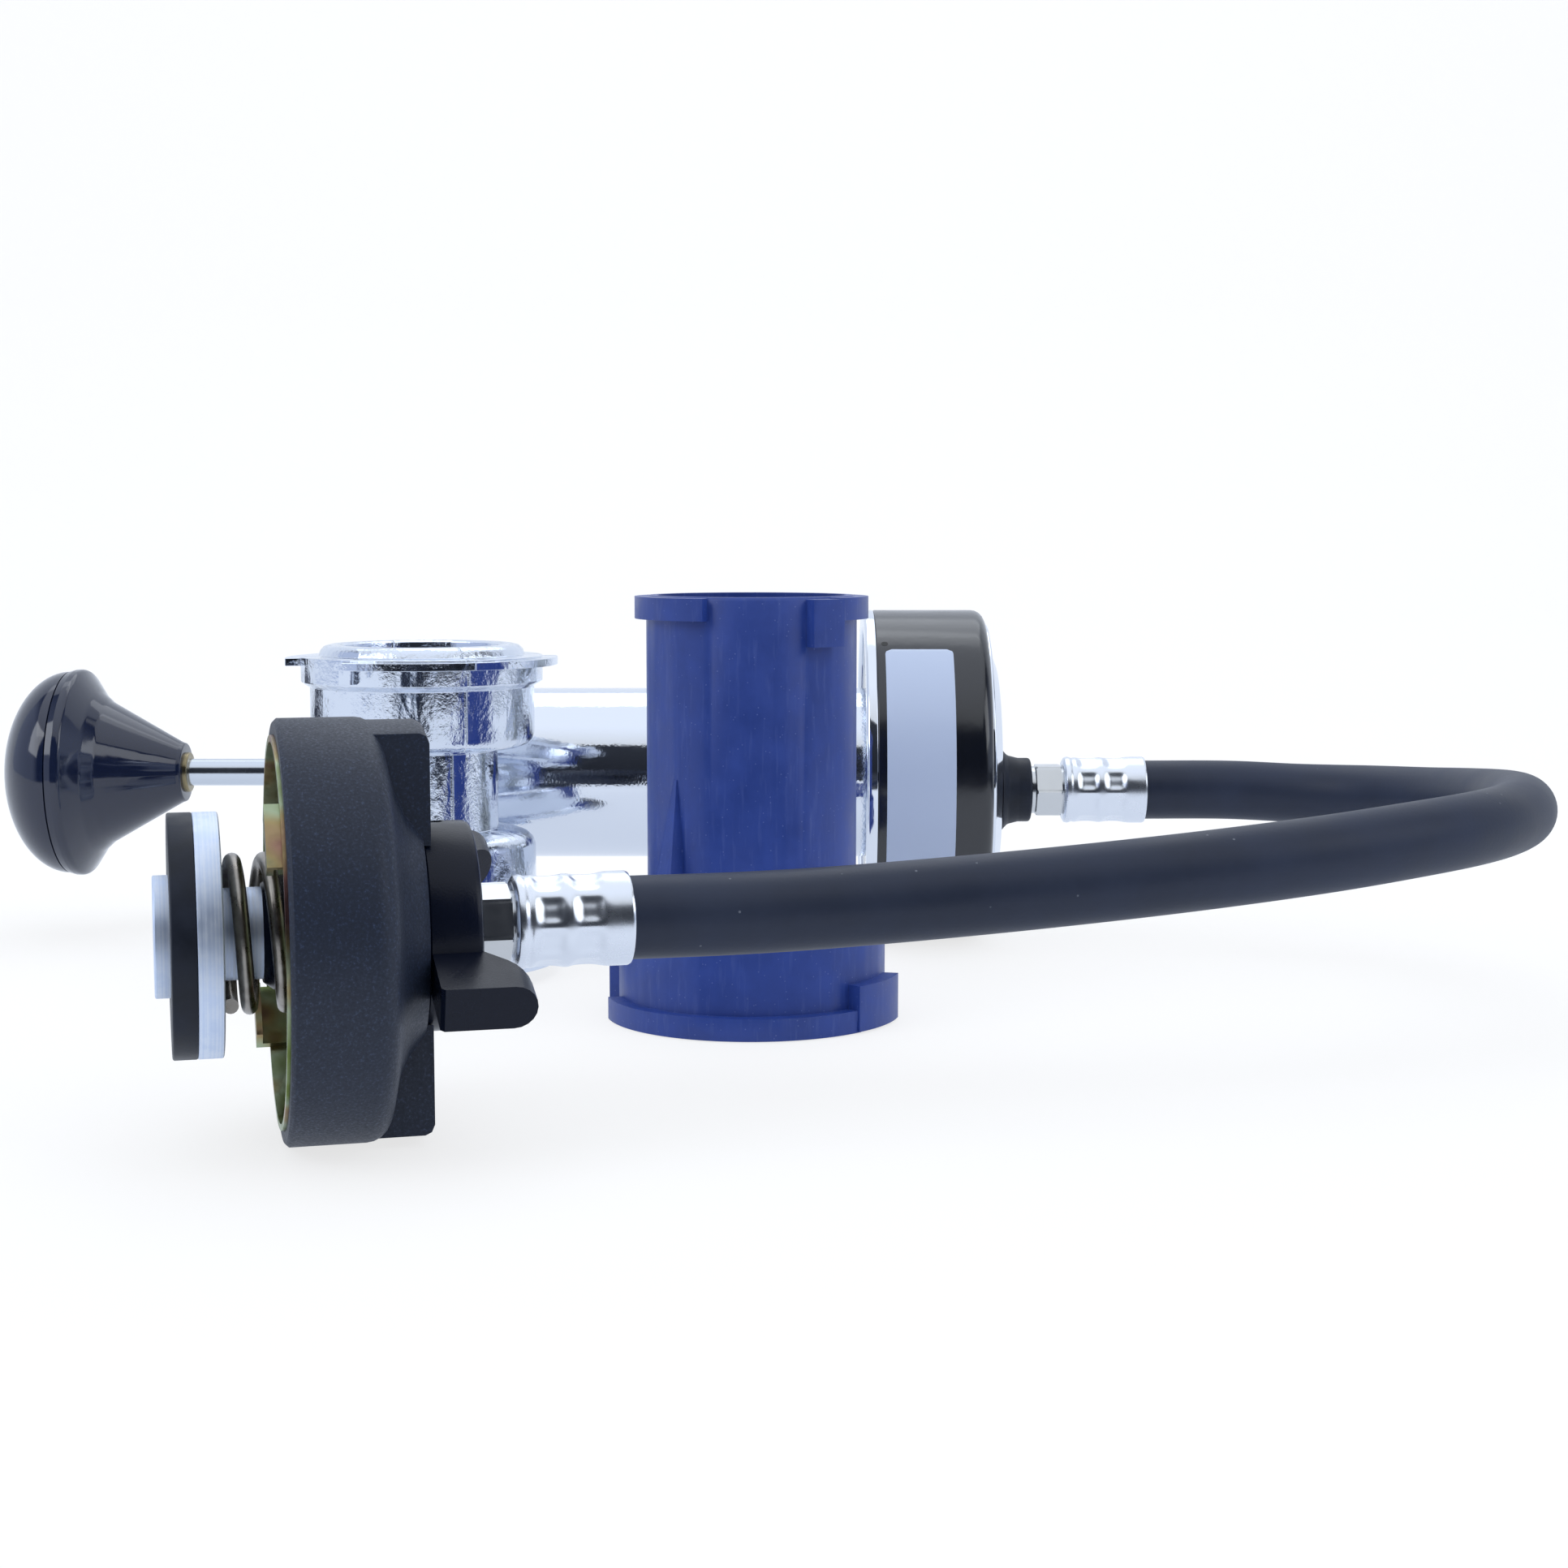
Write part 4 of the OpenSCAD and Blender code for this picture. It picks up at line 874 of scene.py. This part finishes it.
def build_ferrules():
    """The two crimped ferrules."""
    for name, axes, start, node in (("rear_crimp", PORT, REAR_FERRULE, "rear_ferrule"),
                                    ("front_crimp", HEAD, FRONT_FERRULE, "front_ferrule")):
        wall = [(7.46, s) for s in np.linspace(start + 1.1, start + FERRULE - 0.35, 100)]
        turned(name, axes, [
            (2.0, start), (6.5, start, 0.4), (7.3, start + 0.4, 0.5), *wall,
            (7.3, start + FERRULE), (6.62, start + FERRULE), (6.62, start + 17.0),
            (6.3, start + 16.6), (6.3, start + 1.0), (2.0, start + 1.0),
        ], "tester", "ferrule", "chrome", node, shape=ferrule_shape(start), facets=240, sharp=60)


SPRING_R, SPRING_TURNS = 11.1, 4.3
SPRING_START, SPRING_END = -7.2, 10.7
SPRING_CLOSE = 2.9  # climb of each end turn


def spring_path(points_a_turn=48):
    """Helix about the head's axis; both end turns close smoothly, as the square of the turn."""
    turns, close = SPRING_TURNS, SPRING_CLOSE
    open_turns = turns - 2
    pitch = (SPRING_END - SPRING_START - 2 * close) / open_turns
    t = np.linspace(0, turns, int(points_a_turn * turns))
    climb = np.where(t < 1, close * t ** 2, np.where(
        t < 1 + open_turns, close + pitch * (t - 1),
        2 * close + pitch * open_turns - close * (turns - t) ** 2))
    a = 2 * math.pi * t
    return np.stack([SPRING_R * np.cos(a), SPRING_R * np.sin(a), SPRING_START + climb], 1)


def build_spring():
    """The head's compression spring."""
    path = placed(spring_path(), HEAD)
    piece = pipe("compression_spring", path, sizes().spring_wire / 2, 16, up=ALONG_HEAD)
    set_piece(piece, "tester", "spring", "spring_steel", "head_spring")
    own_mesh(piece)


def build_seal():
    """Nut, gasket, disc and stem in front of the spring."""
    bore, stem, seal = STEM_BORE_R, STEM_R, SEAL_R
    turned("seal_retaining_nut", HEAD, [
        (bore, -18.3), (9.25, -18.3, 0.3), (9.25, -16.0), (bore, -16.0),
    ], "tester", "aluminium", "aluminium", "seal_nut")
    turned("seal_rubber", HEAD, [
        (5.0, -16.0), (seal, -16.0, 0.35), (seal, -12.3, 0.25), (5.0, -12.3),
    ], "tester", "rubber", "rubber", "seal_gasket")
    turned("seal_backing_disc", HEAD, [
        (5.0, -12.3), (seal, -12.3, 0.2), (seal, -8.5, 0.3), (5.0, -8.5),
    ], "tester", "aluminium", "aluminium", "seal_disc")
    turned("head_spindle", HEAD, [
        (bore, -16.0), (5.0, -16.0), (5.0, -8.5), (stem, -8.5), (stem, 27.1), (8.6, 27.1),
        (8.6, 28.8), (bore, 28.8),
    ], "tester", "aluminium", "aluminium", "head_stem")


def build_cap():
    """Shell, cam ring, sleeve, washer and wing handle of the test head."""
    edge = sizes().edge_round
    from_solid("coated_shell", "head_shell", 1.5 * edge, "head_cap", "shell", "powder_black")
    from_solid("plated_cam_ring", "cam_ring", 0.5 * edge, "head_cap", "zinc", "gold_zinc")
    turned("head_sleeve", HEAD, [
        (7.05, -2.4), (7.5, -2.4, 0.3), (8.7, -0.8, 0.5), (8.7, 21.1), (7.05, 21.1),
    ], "head_cap", "handle", "moulded_black", "turn_sleeve")
    paint_node("thrust_washer", "nut")
    from_solid("wing_grip", "wing_handle", 2.0 * edge, "head_cap", "handle", "moulded_black")


def build_adaptors():
    """Chromed double neck adaptor and blue cap adaptor."""
    edge = 1.2 * sizes().edge_round
    from_solid("chrome_neck", "neck_adaptor", edge, "neck_piece", "cast chrome", "chrome")
    from_solid("blue_adaptor", "cap_adaptor", edge, "cap_piece", "blue", "blue_plastic")


# ---------- the stage ----------

FRAME_PX, FOCAL_PX, SENSOR_MM = 1932, 3000, 36
CAMERA_SPOT, CAMERA_TILT = (0.0485, -0.4668, 0.093), math.radians(5.92)
SWEEP_RUN = (-0.27, 0.55, 0.7, 0.8, 0.86, 0.9, 0.9)  # metres back, bend by bend
SWEEP_RISE = (0.0, 0.0, 0.012, 0.05, 0.12, 0.22, 1.8)
LAMPS = (  # name, place and aim in metres, width in metres, watts
    ("overhead", (0.0, -0.1, 1.1), (0.03, 0.0, 0.03), 1.8, 8.8),
    ("rear", (0.1, 0.6, 0.8), (0.05, 0.05, 0.03), 0.6, 0.9),
    ("left", (-1.1, -0.7, 0.9), (0.0, 0.0, 0.04), 0.8, 5.0),
    ("right", (1.2, -0.5, 0.8), (0.05, 0.0, 0.04), 0.8, 3.6),
)
LAMP_COLOUR = (0.92, 0.96, 1.0)


def build_camera():
    """Camera in front of the set, a little above it and tilted down."""
    camera = linked("view", bpy.data.cameras.new("view"))
    camera.data.sensor_width = SENSOR_MM
    camera.data.lens = FOCAL_PX / FRAME_PX * SENSOR_MM
    camera.data.clip_end = 20
    camera.location = CAMERA_SPOT
    camera.rotation_euler = (math.radians(90) - CAMERA_TILT, 0, 0)
    bpy.context.scene.camera = camera


def build_sweep():
    """White floor that curves up into a backdrop: its bends carried straight across."""
    x, y = np.meshgrid(np.linspace(-2.0, 2.0, 9), SWEEP_RUN, indexing="ij")
    points = np.stack([x, y, np.broadcast_to(SWEEP_RISE, x.shape)], 2)
    mesh = new_mesh("sweep", points, grid_quads(*x.shape))
    mesh.shade_smooth()
    mesh.materials.append(studio_white())
    linked("sweep", mesh)


def build_room():
    """World: white to the camera, an even grey to matt surfaces, and to gloss a dark room in
    front, between two pale walls and under a pale ceiling."""
    world = bpy.data.worlds.new("studio")
    bpy.context.scene.world = world
    world.use_nodes = True
    tree = world.node_tree
    tree.nodes.clear()
    across = add(tree, "SeparateXYZ", {"Vector": add(tree, "TexCoord", out="Generated")}, out="X")
    rise = add(tree, "ValToRGB", {"Fac": across.node.outputs["Z"]}, stops=(
        (0.0, 0.015), (0.03, 0.08), (0.1, 0.025), (0.7, 0.045), (0.84, 0.2), (0.93, 0.3)))
    across = add(tree, "Math", {0: across, 1: 0.1}, operation="SUBTRACT")
    across = add(tree, "Math", {0: across}, operation="ABSOLUTE")
    walls = add(tree, "ValToRGB", {"Fac": across}, stops=((0.62, 0.0), (0.84, 0.8)))
    room = add(tree, "Math", {0: rise, 1: walls}, operation="MAXIMUM")
    shade = add(tree, "Mix", {0: room, 6: "#04060b", 7: "#d6e3ff"}, out=2, data_type="RGBA")
    camera = add(tree, "LightPath", out="Is Camera Ray")
    gloss = camera.node.outputs["Is Glossy Ray"]
    level = add(tree, "Mix", {0: gloss, 6: "#b9bfca", 7: shade}, out=2, data_type="RGBA")
    shown = add(tree, "Mix", {0: camera, 6: level, 7: "#ffffff"}, out=2, data_type="RGBA")
    light = add(tree, "Background", {"Color": shown})
    add(tree, "OutputWorld", {"Surface": light})


def build_stage():
    """Camera, white sweep, four soft lamps and the room that gloss reflects."""
    build_camera()
    build_sweep()
    for name, spot, target, width, power in LAMPS:
        light = bpy.data.lights.new(name, "AREA")
        light.energy = power
        light.color = LAMP_COLOUR
        light.size = width
        lamp = linked(name, light)
        lamp.location = spot
        lamp.rotation_euler = (Vector(target) - Vector(spot)).to_track_quat("-Z", "Y").to_euler()
    build_room()
    bpy.context.scene.view_settings.view_transform = "Standard"


# ---------- operators ----------


class Undoable:
    """What all the operators share."""

    bl_options = {"REGISTER", "UNDO"}


class TESTSET_OT_stage(Undoable, Operator):
    """Set up the camera, the white sweep and the lamps"""

    bl_idname = "testset.stage"
    bl_label = "Studio Stage"

    def execute(self, context):
        build_stage()
        return {"FINISHED"}


class TESTSET_OT_hose(Undoable, Operator):
    """Lay the rubber hose from the gauge to the test head"""

    bl_idname = "testset.hose"
    bl_label = "Rubber Hose"

    def execute(self, context):
        build_hose()
        return {"FINISHED"}


class TESTSET_OT_knob(Undoable, Operator):
    """Turn the mushroom knob, its cap and its brass ring"""

    bl_idname = "testset.knob"
    bl_label = "Pump Knob"

    def execute(self, context):
        build_knob()
        return {"FINISHED"}


class TESTSET_OT_pump(Undoable, Operator):
    """Turn the rod, the barrel, its end cap and the rod guide"""

    bl_idname = "testset.pump"
    bl_label = "Pump Barrel"

    def execute(self, context):
        build_pump()
        return {"FINISHED"}


class TESTSET_OT_gauge(Undoable, Operator):
    """Turn the gauge's case, bezel, lens and rear cover"""

    bl_idname = "testset.gauge"
    bl_label = "Gauge Case"

    def execute(self, context):
        build_gauge()
        return {"FINISHED"}


class TESTSET_OT_dial(Undoable, Operator):
    """Make the dial with its ticks and numbers"""

    bl_idname = "testset.dial"
    bl_label = "Gauge Dial"

    def execute(self, context):
        build_dial()
        return {"FINISHED"}


class TESTSET_OT_label(Undoable, Operator):
    """Lay the bare label on the gauge's case"""

    bl_idname = "testset.label"
    bl_label = "Bare Label"

    def execute(self, context):
        build_label()
        return {"FINISHED"}


class TESTSET_OT_fittings(Undoable, Operator):
    """Turn the boot, the collars and the two nuts"""

    bl_idname = "testset.fittings"
    bl_label = "Hose Fittings"

    def execute(self, context):
        build_fittings()
        return {"FINISHED"}


class TESTSET_OT_ferrules(Undoable, Operator):
    """Make the two crimped ferrules"""

    bl_idname = "testset.ferrules"
    bl_label = "Crimped Ferrules"

    def execute(self, context):
        build_ferrules()
        return {"FINISHED"}


class TESTSET_OT_spring(Undoable, Operator):
    """Wind the test head's spring"""

    bl_idname = "testset.spring"
    bl_label = "Head Spring"

    def execute(self, context):
        build_spring()
        return {"FINISHED"}


class TESTSET_OT_seal(Undoable, Operator):
    """Turn the nut, gasket, disc and stem of the head"""

    bl_idname = "testset.seal"
    bl_label = "Seal and Stem"

    def execute(self, context):
        build_seal()
        return {"FINISHED"}


class TESTSET_OT_cap(Undoable, Operator):
    """Make the shell, the cam ring, the sleeve and the wing handle"""

    bl_idname = "testset.cap"
    bl_label = "Head Shell and Handle"

    def execute(self, context):
        build_cap()
        return {"FINISHED"}


class TESTSET_OT_adaptors(Undoable, Operator):
    """Make the chromed neck adaptor and the blue cap adaptor"""

    bl_idname = "testset.adaptors"
    bl_label = "Neck and Cap Adaptors"

    def execute(self, context):
        build_adaptors()
        return {"FINISHED"}


OPERATORS = (
    TESTSET_OT_stage, TESTSET_OT_hose, TESTSET_OT_knob, TESTSET_OT_pump,
    TESTSET_OT_gauge, TESTSET_OT_dial, TESTSET_OT_label, TESTSET_OT_fittings,
    TESTSET_OT_ferrules, TESTSET_OT_spring, TESTSET_OT_seal, TESTSET_OT_cap,
    TESTSET_OT_adaptors,
)


class TESTSET_PT_pieces(Panel):
    """Lists the sizes, the colours and the pieces of the test set."""

    bl_label = "Pressure Test Set"
    bl_space_type = "VIEW_3D"
    bl_region_type = "UI"
    bl_category = "Test Set"

    def draw(self, context):
        layout = self.layout
        for group in (context.scene.test_set_sizes, context.scene.test_set_colours):
            for key in group.bl_rna.properties.keys():
                if key not in {"rna_type", "name"}:
                    layout.prop(group, key)
        for made in OPERATORS:
            layout.operator(made.bl_idname)


CLASSES = (TestSetSizes, TestSetColours, *OPERATORS, TESTSET_PT_pieces)


def register():
    for cls in CLASSES:
        bpy.utils.register_class(cls)
    bpy.types.Scene.test_set_sizes = PointerProperty(type=TestSetSizes)
    bpy.types.Scene.test_set_colours = PointerProperty(type=TestSetColours)


def unregister():
    del bpy.types.Scene.test_set_colours
    del bpy.types.Scene.test_set_sizes
    for cls in reversed(CLASSES):
        bpy.utils.unregister_class(cls)


def main():
    register()
    for made in OPERATORS:
        getattr(bpy.ops.testset, made.bl_idname.split(".")[1])()
    bpy.context.view_layer.update()


if __name__ == "__main__":
    main()
